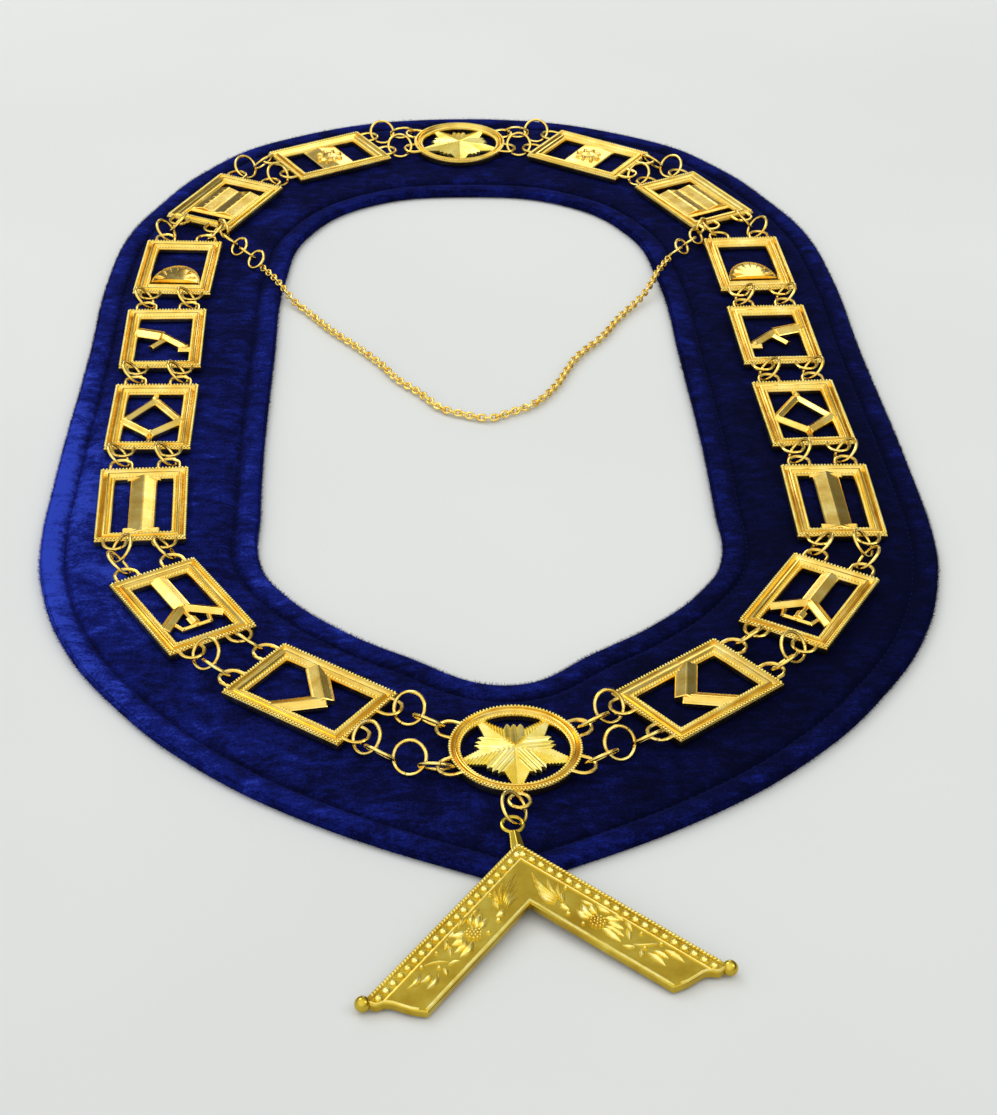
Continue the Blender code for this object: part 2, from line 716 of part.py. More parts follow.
def cross_chain():
    points = chain_route()
    curve = bpy.data.curves.new("cross chain", "CURVE")
    curve.dimensions = "3D"
    spline = curve.splines.new("POLY")
    spline.points.add(len(points) - 1)
    for knot, point in zip(spline.points, points):
        knot.co = (*point, 1)
    curve.bevel_depth = CHAIN_DIAMETER / 2
    curve.bevel_resolution = CHAIN_SIDES // 4
    curve.use_fill_caps = True
    shape = bpy.data.objects.new("chain line", curve)
    collection.objects.link(shape)
    seen = shape.evaluated_get(bpy.context.evaluated_depsgraph_get())
    mesh = bpy.data.meshes.new_from_object(seen)
    bpy.data.objects.remove(shape, do_unlink=True)
    bm = bmesh.new()
    bm.from_mesh(mesh)
    bmesh.ops.remove_doubles(bm, verts=bm.verts, dist=0.01 * MM)
    bpy.data.meshes.remove(mesh)
    mesh_object("cross_chain", bm, "gilt metal")


def chain_end(name, start, end):
    """Small rings from a point on a jump ring to the fine chain's end."""
    flat = Vector((end.x - start.x, end.y - start.y, 0))
    length = flat.length - END_SHIFT - REST_GAP - END_RING_WIRE / 2
    flat.normalize()
    held = END_RING_WIRE - RING_PITCH_OVERLAP
    radius = (length + (END_RINGS - 1) * held) / (2 * END_RINGS - 1)
    pitch = 2 * radius - held
    tilt = math.radians(END_TILT)
    rest = VELVET_THICKNESS + RING_CLEARANCE + END_RING_WIRE / 2 + radius * math.sin(tilt)
    centre = start + flat * END_SHIFT - Vector((0, 0, END_HANG))
    parts = [ring("ring", centre, flat, math.radians(90), radius, END_RING_WIRE)]
    for i in range(1, END_RINGS):
        fall = centre.z - rest
        step = flat * math.sqrt(pitch ** 2 - fall ** 2) - Vector((0, 0, fall))
        centre = centre + step
        parts.append(ring("ring", centre, flat, tilt * (-1) ** i, radius, END_RING_WIRE))
    fuse(name, parts, "gilt metal")


def build_side(label, side, walk, front):
    """Plates and ring runs of one side; gives back what its far end needs."""
    disc = Vector((side * front.x, front.y, 0))
    inner = disc_loop_point(disc, DISC_LOOP_ANGLE)
    outer = disc_loop_point(disc, -DISC_LOOP_ANGLE)
    far_end = disc
    before = "front"
    hooks = []
    for number, (figure, heading, bearing, rings, pull) in enumerate(walk, 1):
        way = direction(bearing)
        target = 2 * LOOP_HALF_WIDTH + (rings - 1) * RING_PITCH + 2 * RING_TAUT * pull
        loop = -direction(heading) * (LOOP_REACH - LOOP_HALF_WIDTH) - outward(heading) * LOOP_OFFSET
        known = far_end + loop - inner
        along = known.dot(way)
        gap = -along + math.sqrt(target ** 2 - known.length_squared + along ** 2)
        near_end = far_end + way * gap
        centre = near_end + direction(heading) * PLATE_LENGTH / 2
        link_plate(f"{label}_plate_{number}_{figure}", figure, side, centre, heading)
        near_inner = plate_loop_point(centre, heading, -1, -1)
        near_outer = plate_loop_point(centre, heading, -1, 1)
        hooked = number == HOOK_JUNCTION
        run_of_rings(
            f"{label}_rings_{number}_inner", side_point(inner, side), side_point(near_inner, side),
            side if hooked else -side, hooked,
        )
        run_of_rings(
            f"{label}_rings_{number}_outer", side_point(outer, side), side_point(near_outer, side),
            -side,
        )
        hooks.append((side_point(inner, side), side_point(near_inner, side)))
        inner = plate_loop_point(centre, heading, 1, -1)
        outer = plate_loop_point(centre, heading, 1, 1)
        far_end = near_end + direction(heading) * PLATE_LENGTH
    return side_point(far_end, side), side_point(inner, side), side_point(outer, side), hooks


def chain_hook(hook, side):
    """Where the cross chain's end ring hangs on the inner jump ring before plate 7."""
    start, end = hook
    way = (end - start).normalized()
    tilt = math.radians(RING_TILT)
    raised = Vector((0, 0, 1)).cross(way) * side
    centre = (start + end) / 2 + raised * (RING_SHIFT + HOOK_SHIFT)
    centre.z = RING_CENTRE
    return centre + raised * RING_RADIUS * math.cos(tilt) + Vector((0, 0, RING_RADIUS * math.sin(tilt)))


def build():
    velvet_collar()
    front = Vector((DISC_X, DISC_Y, 0))
    disc_link("front_disc", front, DISC_LOOP_ANGLE, True)
    left_end, left_inner, left_outer, left_hooks = build_side("left", -1, LEFT_WALK, front)
    right_end, right_inner, right_outer, right_hooks = build_side("right", 1, RIGHT_WALK, front)
    far = (left_end + right_end) / 2 + Vector((0, FAR_DISC_LIFT, 0))
    disc_link("far_disc", far, FAR_INNER_LOOP_ANGLE, False)
    for label, side, inner, outer in (
        ("left", -1, left_inner, left_outer), ("right", 1, right_inner, right_outer),
    ):
        plan = Vector((side * far.x, far.y, 0))
        low = side_point(disc_loop_point(plan, -FAR_INNER_LOOP_ANGLE), side)
        high = side_point(disc_loop_point(plan, DISC_LOOP_ANGLE), side)
        run_of_rings(f"{label}_rings_9_inner", inner, low, -side)
        run_of_rings(f"{label}_rings_9_outer", outer, high, -side)
    jewel()
    jewel_ring(front)
    cross_chain()
    route = chain_route()
    chain_end("left_chain_end", chain_hook(left_hooks[HOOK_JUNCTION - 1], -1), route[0])
    chain_end("right_chain_end", chain_hook(right_hooks[HOOK_JUNCTION - 1], 1), route[-1])
    root = bpy.data.objects.new("chain_of_office", None)
    collection.objects.link(root)
    bpy.context.view_layer.update()
    corners = []
    for thing in collection.objects:
        if thing.type == "MESH":
            corners += [thing.matrix_world @ vertex.co for vertex in thing.data.vertices]
            thing.parent = root
    low = Vector([min(c[i] for c in corners) for i in range(3)])
    high = Vector([max(c[i] for c in corners) for i in range(3)])
    root.location = (-(low.x + high.x) / 2, -(low.y + high.y) / 2, -low.z)
    bpy.context.view_layer.update()


build()
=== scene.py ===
import math

import bmesh
import bpy
import numpy as np
from mathutils import Matrix, Vector


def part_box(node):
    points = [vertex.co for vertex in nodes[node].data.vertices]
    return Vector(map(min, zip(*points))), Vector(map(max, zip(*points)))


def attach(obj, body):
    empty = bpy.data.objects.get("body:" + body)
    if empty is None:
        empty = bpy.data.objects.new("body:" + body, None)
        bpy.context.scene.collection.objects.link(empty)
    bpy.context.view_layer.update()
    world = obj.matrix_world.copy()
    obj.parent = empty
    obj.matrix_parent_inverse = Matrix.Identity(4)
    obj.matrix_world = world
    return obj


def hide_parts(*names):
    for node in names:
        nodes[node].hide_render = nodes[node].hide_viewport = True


mm = 0.001

# the collar as it was packed, which everything below is fitted to
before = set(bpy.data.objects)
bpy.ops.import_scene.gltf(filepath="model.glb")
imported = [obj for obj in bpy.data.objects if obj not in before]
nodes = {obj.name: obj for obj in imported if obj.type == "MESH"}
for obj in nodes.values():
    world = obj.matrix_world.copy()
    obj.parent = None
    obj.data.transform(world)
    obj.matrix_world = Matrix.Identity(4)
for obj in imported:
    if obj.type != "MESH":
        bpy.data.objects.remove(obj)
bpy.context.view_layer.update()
print("frame loaded:", len(nodes), "nodes")


# small helpers
def linear(hexColour):
    made = []
    for i in (0, 2, 4):
        c = int(hexColour[i:i + 2], 16) / 255
        made.append(c / 12.92 if c <= 0.04045 else ((c + 0.055) / 1.055) ** 2.4)
    return (*made, 1.0)


def setInputs(tree, node, inputs):
    for key, value in inputs.items():
        if isinstance(value, bpy.types.NodeSocket):
            tree.links.new(value, node.inputs[key])
        else:
            node.inputs[key].default_value = value


def addNode(tree, kind, inputs=None, **settings):
    node = tree.nodes.new(kind)
    for key, value in settings.items():
        setattr(node, key, value)
    setInputs(tree, node, inputs or {})
    return node


def newMaterial(name):
    made = bpy.data.materials.new(name)
    made.use_nodes = True
    tree = made.node_tree
    place = addNode(tree, "ShaderNodeTexCoord").outputs["Object"]
    return made, tree, tree.nodes["Principled BSDF"], place


def addObject(name, data):
    made = bpy.data.objects.new(name, data)
    bpy.context.scene.collection.objects.link(made)
    return made


def scaled(sizes):
    return tuple(c * mm for c in sizes)


def roundWay(angle):
    return Vector((math.cos(angle), math.sin(angle), 0))


def turnSteps(count):
    return [2 * math.pi * i / count for i in range(count)]


def upBy(height):
    return Vector((0, 0, height))


def leftOf(way):
    return Vector((-way.y, way.x, 0))


def setRamp(node, stops):
    ramp = node.color_ramp
    while len(ramp.elements) < len(stops):
        ramp.elements.new(0.5)
    for element, (place, colour) in zip(ramp.elements, stops):
        element.position = place
        element.color = linear(colour)


# materials
velvetLook = {
    "shade": "04061E", "deep": "080C36", "body": "111B68", "light": "2A3EAE",
    "crushSize": 12.0, "crushShare": 0.50, "strokeSize": 2.4, "strokeShare": 0.42,
    # painted light on the next line: a lean that paints the pile lighter towards the left, most near the front
    "pileSize": 0.75, "pileShare": 0.36, "paintedLightLean": -0.70, "paintedLightAhead": 2.8, "hemShare": 0.08,
    # painted light: where and how wide a lighter pool on the left edge near the front is painted, and how strong
    "paintedPoolPlace": (-0.128, -0.035, 0.0), "paintedPoolSize": (0.075, 0.15, 1.0), "paintedPoolShare": 0.20,
    "roughness": 0.95, "sheen": 0.26, "sheenTint": "3A50D8",
}


def cottonVelvet():
    # woven cotton velvet: a short cut pile that swallows light, with crushed patches that catch it
    look = velvetLook
    made, tree, shader, place = newMaterial("royalBlueCottonVelvet")
    across = addNode(tree, "ShaderNodeSeparateXYZ", {"Vector": place})
    turned = addNode(tree, "ShaderNodeMapping", {
        "Vector": place, "Rotation": (0.0, 0.0, 0.12), "Scale": (0.42, 1.0, 1.0),
    }).outputs["Vector"]
    # painted light: the pile is painted lighter towards the left and darker towards the right, most near the
    # front, as if lit from the left
    paintedLightLean = addNode(tree, "ShaderNodeMath", {
        0: across.outputs["Y"], 1: look["paintedLightAhead"], 2: look["paintedLightLean"],
    }, operation="MULTIPLY_ADD")
    paintedSideLight = addNode(tree, "ShaderNodeMath", {
        0: across.outputs["X"], 1: paintedLightLean.outputs[0],
    }, operation="MULTIPLY")
    # a painted pool of light on the left edge, near the front
    around = addNode(tree, "ShaderNodeMapping", {
        "Vector": place, "Location": look["paintedPoolPlace"], "Scale": look["paintedPoolSize"],
    }, vector_type="TEXTURE")
    paintedPool = addNode(tree, "ShaderNodeTexGradient", {
        "Vector": around.outputs["Vector"],
    }, gradient_type="QUADRATIC_SPHERE")
    # painted light along the hem: a painted highlight over the rolled edge and painted shade in the stitch groove
    hem = addNode(tree, "ShaderNodeAttribute", attribute_name="hemPaintedLight")
    layers = {"paintedPool": paintedPool.outputs["Fac"], "hem": hem.outputs["Fac"]}
    for layer, spot, detail, roughness, distortion in (
        ("crush", place, 5.0, 0.7, 0.6), ("stroke", turned, 3.0, 0.75, 0.0), ("pile", place, 2.0, 0.8, 0.0),
    ):
        layers[layer] = addNode(tree, "ShaderNodeTexNoise", {
            "Vector": spot, "Scale": 1 / (look[layer + "Size"] * mm), "Detail": detail,
            "Roughness": roughness, "Distortion": distortion,
        }).outputs["Fac"]
    total = paintedSideLight.outputs[0]
    for layer, value in layers.items():
        total = addNode(tree, "ShaderNodeMath", {
            0: value, 1: look[layer + "Share"], 2: total,
        }, operation="MULTIPLY_ADD").outputs[0]
    ramp = addNode(tree, "ShaderNodeValToRGB", {"Fac": total})
    setRamp(ramp, ((0.53, look["shade"]), (0.66, look["deep"]), (0.81, look["body"]), (0.97, look["light"])))
    nap = addNode(tree, "ShaderNodeMath", {
        0: layers["stroke"], 1: 0.6, 2: layers["pile"],
    }, operation="MULTIPLY_ADD")
    bump = addNode(tree, "ShaderNodeBump", {"Height": nap.outputs[0], "Strength": 0.6, "Distance": 0.4 * mm})
    setInputs(tree, shader, {
        "Base Color": ramp.outputs["Color"], "Normal": bump.outputs["Normal"], "Roughness": look["roughness"],
        "Specular IOR Level": 0.03, "Sheen Weight": look["sheen"], "Sheen Roughness": 0.3,
        "Sheen Tint": linear(look["sheenTint"]),
    })
    return made


def giltBrass(name, pale, mid, deep, roughness, wearSize=7.0):
    # brass castings, polished and electroplated with gold: mirror bright, with faint polishing ripple
    made, tree, shader, place = newMaterial(name)
    cloud = addNode(tree, "ShaderNodeTexNoise", {
        "Vector": place, "Scale": 1 / (wearSize * mm), "Detail": 3.0, "Roughness": 0.6,
    }).outputs["Fac"]
    ramp = addNode(tree, "ShaderNodeValToRGB", {"Fac": cloud})
    setRamp(ramp, ((0.30, deep), (0.52, mid), (0.74, pale)))
    rough = addNode(tree, "ShaderNodeMapRange", {
        "Value": cloud, "To Min": roughness * 0.75, "To Max": roughness * 1.35,
    })
    grain = addNode(tree, "ShaderNodeTexNoise", {"Vector": place, "Scale": 1 / (0.7 * mm), "Detail": 2.0})
    bump = addNode(tree, "ShaderNodeBump", {
        "Height": grain.outputs["Fac"], "Strength": 0.12, "Distance": 0.08 * mm,
    })
    setInputs(tree, shader, {
        "Base Color": ramp.outputs["Color"], "Roughness": rough.outputs["Result"],
        "Normal": bump.outputs["Normal"], "Metallic": 1.0,
    })
    return made


def navyThread():
    # two ply cotton sewing thread: dull, and as dark as the sunk pile round it
    made, tree, shader, place = newMaterial("navySewingThread")
    twist = addNode(tree, "ShaderNodeTexNoise", {"Vector": place, "Scale": 1 / (0.9 * mm), "Detail": 1.0})
    ramp = addNode(tree, "ShaderNodeValToRGB", {"Fac": twist.outputs["Fac"]})
    setRamp(ramp, ((0.35, "04061E"), (0.65, "0C1450")))
    setInputs(tree, shader, {
        "Base Color": ramp.outputs["Color"], "Roughness": 0.9, "Specular IOR Level": 0.08,
    })
    return made


velvet = cottonVelvet()
gilt = giltBrass("giltCastBrass", "FFE892", "F8D56C", "E8BC4E", 0.18)
brightGilt = giltBrass("giltBrassWire", "FFF0A0", "FBDC74", "EDBE4A", 0.15, wearSize=3.0)
jewelGilt = giltBrass("paleGiltCastBrass", "DECA58", "CCAF3A", "B89528", 0.17, wearSize=9.0)
# a paler copy of the gilt for the star, rims, beads, rope, pearls and raised relief: painted highlight on the
# parts that stand up
highlightGilt = giltBrass("brightCutGiltBrass", "FFF6B4", "FCEB86", "F1D75C", 0.30, wearSize=4.0)
thread = navyThread()


# mesh helpers
def addLoops(bm, loops, around=True, along=False, smooth=True, caps=False):
    rows = [[bm.verts.new(point) for point in loop] for loop in loops]
    pairs = list(zip(rows, rows[1:]))
    if along:
        pairs.append((rows[-1], rows[0]))
    for low, high in pairs:
        for i in range(0 if around else 1, len(low)):
            bm.faces.new((low[i - 1], low[i], high[i], high[i - 1])).smooth = smooth
    if caps:
        bm.faces.new(rows[0])
        bm.faces.new(rows[-1])
    return rows


def addTube(bm, points, radius, sides, closed=False):
    count = len(points)
    loops = []
    aside = None
    for i, point in enumerate(points):
        before = points[i - 1] if closed or i else point
        after = points[(i + 1) % count] if closed or i < count - 1 else point
        way = (after - before).normalized()
        if aside is None:
            aside = way.orthogonal().normalized()
        aside = (aside - way * aside.dot(way)).normalized()
        other = way.cross(aside)
        loops.append([point + (aside * math.cos(a) + other * math.sin(a)) * radius for a in turnSteps(sides)])
    addLoops(bm, loops, along=closed, caps=not closed)


def addRing(bm, hub, radius, wire):
    addTube(bm, [hub + roundWay(a) * radius for a in turnSteps(32)], wire / 2, 10, closed=True)


def finishPiece(name, bm, looks, sharp, replaced=()):
    # the pieces are modelled in millimetres, and turned to metres here
    bmesh.ops.recalc_face_normals(bm, faces=bm.faces)
    mesh = bpy.data.meshes.new(name)
    smooth = [face.smooth for face in bm.faces]
    bm.to_mesh(mesh)
    bm.free()
    mesh.transform(Matrix.Scale(mm, 4))
    mesh.set_sharp_from_angle(angle=math.radians(sharp))
    mesh.polygons.foreach_set("use_smooth", smooth)
    mesh.materials.append(looks)
    return dress(addObject(name, mesh), replaced)


def dress(piece, replaced=()):
    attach(piece, "root")
    if replaced:
        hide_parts(*replaced)
    return piece


# node trees for what repeats
socketKinds = {float: "NodeSocketFloat", int: "NodeSocketInt", tuple: "NodeSocketVector"}


def newTree(name, sizes):
    tree = bpy.data.node_groups.new(name, "GeometryNodeTree")
    tree.interface.new_socket("Geometry", in_out="INPUT", socket_type="NodeSocketGeometry")
    for label, value in sizes.items():
        made = tree.interface.new_socket(label, in_out="INPUT", socket_type=socketKinds[type(value)])
        made.default_value = value
    tree.interface.new_socket("Finish", in_out="INPUT", socket_type="NodeSocketMaterial")
    tree.interface.new_socket("Geometry", in_out="OUTPUT", socket_type="NodeSocketGeometry")
    return tree, addNode(tree, "NodeGroupInput").outputs, addNode(tree, "NodeGroupOutput")


def stepAlong(tree, given):
    # points at an even pitch along every line of the mesh
    line = addNode(tree, "GeometryNodeMeshToCurve", {"Mesh": given["Geometry"]})
    return addNode(tree, "GeometryNodeCurveToPoints", {
        "Curve": line.outputs[0], "Length": given["Pitch"],
    }, mode="LENGTH").outputs


def closeTree(tree, given, output, points, thing, turned, size=(1.0, 1.0, 1.0)):
    placed = addNode(tree, "GeometryNodeInstanceOnPoints", {
        "Points": points, "Instance": thing, "Rotation": turned.outputs[0], "Scale": size,
    })
    real = addNode(tree, "GeometryNodeRealizeInstances", {"Geometry": placed.outputs[0]})
    painted = addNode(tree, "GeometryNodeSetMaterial", {
        "Geometry": real.outputs[0], "Material": given["Finish"],
    })
    setInputs(tree, output, {"Geometry": painted.outputs[0]})
    return tree


def turnAlong(tree, dots, spin):
    # along its line, and then spun about its own axes
    turned = addNode(tree, "FunctionNodeAlignRotationToVector", {
        "Vector": dots["Tangent"],
    }, axis="X", pivot_axis="Z")
    about = addNode(tree, "ShaderNodeCombineXYZ", spin)
    return addNode(tree, "FunctionNodeRotateRotation", {
        "Rotation": turned.outputs[0], "Rotate By": about.outputs[0],
    }, rotation_space="LOCAL")


def sweepWire(tree, given, curve, sides):
    # round wire along a curve
    half = addNode(tree, "ShaderNodeMath", {0: given["Wire"], 1: 0.5}, operation="MULTIPLY")
    section = addNode(tree, "GeometryNodeCurvePrimitiveCircle", {"Resolution": sides, "Radius": half.outputs[0]})
    wire = addNode(tree, "GeometryNodeCurveToMesh", {
        "Curve": curve, "Profile Curve": section.outputs["Curve"], "Fill Caps": True,
    })
    return addNode(tree, "GeometryNodeSetShadeSmooth", {0: wire.outputs["Mesh"]}).outputs[0]


def beadRowTree():
    # drops of metal, or stitches
    tree, given, output = newTree("rowAlongLines", {
        "Pitch": 1.0 * mm, "Bead Size": scaled((1.0, 1.0, 1.0)), "Slant": 0.0, "Facets": 6,
    })
    dots = stepAlong(tree, given)
    slanted = turnAlong(tree, dots, {"Z": given["Slant"]})
    bead = addNode(tree, "GeometryNodeMeshUVSphere", {"Segments": given["Facets"], "Rings": 4, "Radius": 0.5})
    soft = addNode(tree, "GeometryNodeSetShadeSmooth", {0: bead.outputs["Mesh"]})
    return closeTree(tree, given, output, dots["Points"], soft.outputs[0], slanted, given["Bead Size"])


def wireRingTree():
    # round wire rings with a hairline cut, one for each point, in the plane across its facing
    tree, given, output = newTree("cutWireRings", {"Ring Radius": 4.3 * mm, "Wire": 1.0 * mm, "Cut": 0.05})
    sweep = addNode(tree, "ShaderNodeMath", {0: 2 * math.pi, 1: given["Cut"]}, operation="SUBTRACT")
    bow = addNode(tree, "GeometryNodeCurveArc", {
        "Resolution": 37, "Radius": given["Ring Radius"], "Start Angle": 1.2, "Sweep Angle": sweep.outputs[0],
    })
    ring = sweepWire(tree, given, bow.outputs["Curve"], 10)
    facing = addNode(tree, "GeometryNodeInputNamedAttribute", {"Name": "facing"}, data_type="FLOAT_VECTOR")
    turned = addNode(tree, "FunctionNodeAlignRotationToVector", {"Vector": facing.outputs[0]}, axis="Z")
    return closeTree(tree, given, output, given["Geometry"], ring, turned)


def cableChainTree():
    # oval cable links, every second one turned a quarter about the line
    tree, given, output = newTree("cableChain", {
        "Pitch": 2.0 * mm, "Link Length": 3.5 * mm, "Link Width": 2.6 * mm, "Wire": 0.7 * mm, "Lean": 0.7,
    })
    dots = stepAlong(tree, given)
    number = addNode(tree, "GeometryNodeInputIndex")
    odd = addNode(tree, "ShaderNodeMath", {0: number.outputs[0], 1: 2.0}, operation="MODULO")
    quarter = addNode(tree, "ShaderNodeMath", {0: odd.outputs[0], 1: -math.pi / 2}, operation="MULTIPLY")
    loose = addNode(tree, "FunctionNodeRandomValue", {2: -0.3, 3: 0.3, "Seed": 4}, data_type="FLOAT")
    shaken = addNode(tree, "ShaderNodeMath", {0: quarter.outputs[0], 1: loose.outputs[1]}, operation="ADD")
    leaning = addNode(tree, "ShaderNodeMath", {0: shaken.outputs[0], 1: given["Lean"]}, operation="ADD")
    rolled = turnAlong(tree, dots, {"X": leaning.outputs[0]})
    bow = addNode(tree, "GeometryNodeCurvePrimitiveCircle", {"Resolution": 18, "Radius": 0.5})
    size = addNode(tree, "ShaderNodeCombineXYZ", {"Z": 1.0})
    for axis, label in (("X", "Link Length"), ("Y", "Link Width")):
        middle = addNode(tree, "ShaderNodeMath", {0: given[label], 1: given["Wire"]}, operation="SUBTRACT")
        setInputs(tree, size, {axis: middle.outputs[0]})
    oval = addNode(tree, "GeometryNodeTransform", {
        "Geometry": bow.outputs["Curve"], "Scale": size.outputs[0],
    })
    link = sweepWire(tree, given, oval.outputs[0], 7)
    return closeTree(tree, given, output, dots["Points"], link, rolled)


def edgePileTree():
    # short pile leaning out along an edge, each tuft a thin cone in a slightly different way
    tree, given, output = newTree("edgePile", {
        "Pitch": 0.3 * mm, "Tuft Length": 1.2 * mm, "Thickness": 0.2 * mm,
    })
    dots = stepAlong(tree, given)
    facing = addNode(tree, "GeometryNodeInputNamedAttribute", {"Name": "facing"}, data_type="FLOAT_VECTOR")
    loose = addNode(tree, "FunctionNodeRandomValue", {
        0: (-0.8,) * 3, 1: (0.8,) * 3, "Seed": 11,
    }, data_type="FLOAT_VECTOR")
    way = addNode(tree, "ShaderNodeVectorMath", {0: facing.outputs[0], 1: loose.outputs[0]}, operation="ADD")
    turned = addNode(tree, "FunctionNodeAlignRotationToVector", {"Vector": way.outputs[0]}, axis="Z")
    share = addNode(tree, "FunctionNodeRandomValue", {2: 0.5, 3: 1.0, "Seed": 5}, data_type="FLOAT")
    long = addNode(tree, "ShaderNodeMath", {
        0: given["Tuft Length"], 1: share.outputs[1],
    }, operation="MULTIPLY")
    size = addNode(tree, "ShaderNodeCombineXYZ", {
        "X": given["Thickness"], "Y": given["Thickness"], "Z": long.outputs[0],
    })
    tuft = addNode(tree, "GeometryNodeMeshCone", {
        "Vertices": 3, "Radius Top": 0.0, "Radius Bottom": 0.5, "Depth": 1.0,
    })
    return closeTree(tree, given, output, dots["Points"], tuft.outputs["Mesh"], turned, size.outputs[0])


rowTree = beadRowTree()
fringeTree = edgePileTree()
ringTree = wireRingTree()
chainTree = cableChainTree()


class Lines:
    def __init__(self):
        self.points = []
        self.edges = []
        self.facings = []

    def add(self, points, closed=False):
        first = len(self.points)
        self.points += [Vector(p) for p in points]
        self.edges += [(first + i, first + i + 1) for i in range(len(points) - 1)]
        if closed:
            self.edges.append((first + len(points) - 1, first))


def grow(name, tree, lines, sizes, looks, replaced=()):
    base = bpy.data.meshes.new(name + "Lines")
    base.from_pydata([tuple(p * mm) for p in lines.points], lines.edges, [])
    if lines.facings:
        facing = base.attributes.new("facing", "FLOAT_VECTOR", "POINT")
        facing.data.foreach_set("vector", [c for way in lines.facings for c in way])
    guide = addObject(name + "Guide", base)
    maker = guide.modifiers.new("grown", "NODES")
    maker.node_group = tree
    wanted = dict(sizes, Finish=looks)
    for item in tree.interface.items_tree:
        if item.item_type == "SOCKET" and item.in_out == "INPUT" and item.name in wanted:
            maker[item.identifier] = wanted[item.name]
    seen = guide.evaluated_get(bpy.context.evaluated_depsgraph_get())
    mesh = bpy.data.meshes.new_from_object(seen)
    mesh.name = name
    bpy.data.objects.remove(guide, do_unlink=True)
    dress(addObject(name, mesh), replaced)


def growRow(name, lines, pitch, size, looks, facets=6, slant=0.0):
    grow(name, rowTree, lines, {
        "Pitch": pitch * mm, "Bead Size": scaled(size), "Slant": slant, "Facets": facets,
    }, looks)


# velvet collar
collarSizes = {
    "length": 439.0, "halfWidth": 128.4, "openingHalfWidth": 66.5, "tipY": -198.374, "stations": 480,
    "tipEase": 22.0, "middleRows": 13, "bandHeight": 2.94, "crown": 0.06, "top": 3.0,
    "napSeed": 7, "napWaves": 9, "napTurn": 0.35, "napDepth": 0.10, "napFrom": 2.0,
    "stitchInset": 7.0, "stitchHeight": 1.78, "stitchPitch": 2.6, "stitchSize": (1.7, 0.36, 0.22),
    "fringePitch": 0.30, "fringeLength": 1.25, "fringeThickness": 0.20, "fringeHeights": (0.9, 1.7, 2.4),
    "fringeInset": 0.15, "fringeLift": 0.45,
}
# half of each outline: across and along, as shares of its half width and of the collar's length
collarOutline = (
    (0.000, 1.000), (0.560, 0.952), (0.755, 0.891), (0.858, 0.833), (0.928, 0.779),
    (0.964, 0.700), (0.974, 0.581), (0.996, 0.413), (0.996, 0.324), (0.980, 0.289),
    (0.910, 0.224), (0.783, 0.163), (0.613, 0.107), (0.370, 0.054), (0.000, 0.000),
)
openingOutline = (
    (0.000, 0.852), (0.540, 0.834), (0.850, 0.779), (0.960, 0.699), (0.988, 0.580),
    (1.000, 0.370), (0.975, 0.303), (0.866, 0.272), (0.674, 0.240), (0.391, 0.208),
    (0.040, 0.176),
)
# distance in from the edge and height, in mm: a turned edge, a roll, and the sunk stitch line
hemProfile = (
    (0.9, 0.0), (0.25, 0.3), (0.0, 1.1), (0.2, 2.0), (0.8, 2.65), (1.8, 2.95), (3.2, 3.0),
    (4.6, 2.92), (5.7, 2.60), (6.5, 2.05), (7.0, 1.70), (7.5, 2.00), (8.3, 2.45), (9.6, 2.75), (11.5, 2.88),
)
# painted light on the pile at each of those distances: a painted highlight over the turned edge and the roll,
# painted shade in the stitch line
hemPaintedLight = (0.4, 0.5, 0.7, 0.9, 1.0, 1.0, 0.9, 0.7, 0.2, -0.7, -1.2, -0.8, -0.2, 0.0, 0.0)


def bezierLoop(half, halfWidth, sharpTip):
    right = [(x * halfWidth, y * collarSizes["length"]) for x, y in half]
    knots = right + [(-x, y) for x, y in right[-2:0:-1]]
    curve = bpy.data.curves.new("collarLine", "CURVE")
    curve.dimensions = "2D"
    curve.fill_mode = "NONE"
    curve.resolution_u = 16
    spline = curve.splines.new("BEZIER")
    spline.use_cyclic_u = True
    spline.bezier_points.add(len(knots) - 1)
    for i, (x, y) in enumerate(knots):
        knot = spline.bezier_points[i]
        knot.co = (x, y, 0)
        kind = "VECTOR" if sharpTip and i == len(half) - 1 else "AUTO"
        knot.handle_left_type = kind
        knot.handle_right_type = kind
    shape = addObject("collarLine", curve)
    mesh = bpy.data.meshes.new_from_object(shape.evaluated_get(bpy.context.evaluated_depsgraph_get()))
    line = np.array([v.co[:2] for v in mesh.vertices])
    bpy.data.objects.remove(shape, do_unlink=True)
    closed = np.vstack([line, line[:1]])
    lengths = np.concatenate([[0], np.cumsum(np.linalg.norm(np.diff(closed, axis=0), axis=1))])
    wanted = lengths[-1] * np.arange(collarSizes["stations"]) / collarSizes["stations"]
    return np.column_stack([np.interp(wanted, lengths, closed[:, k]) for k in (0, 1)])


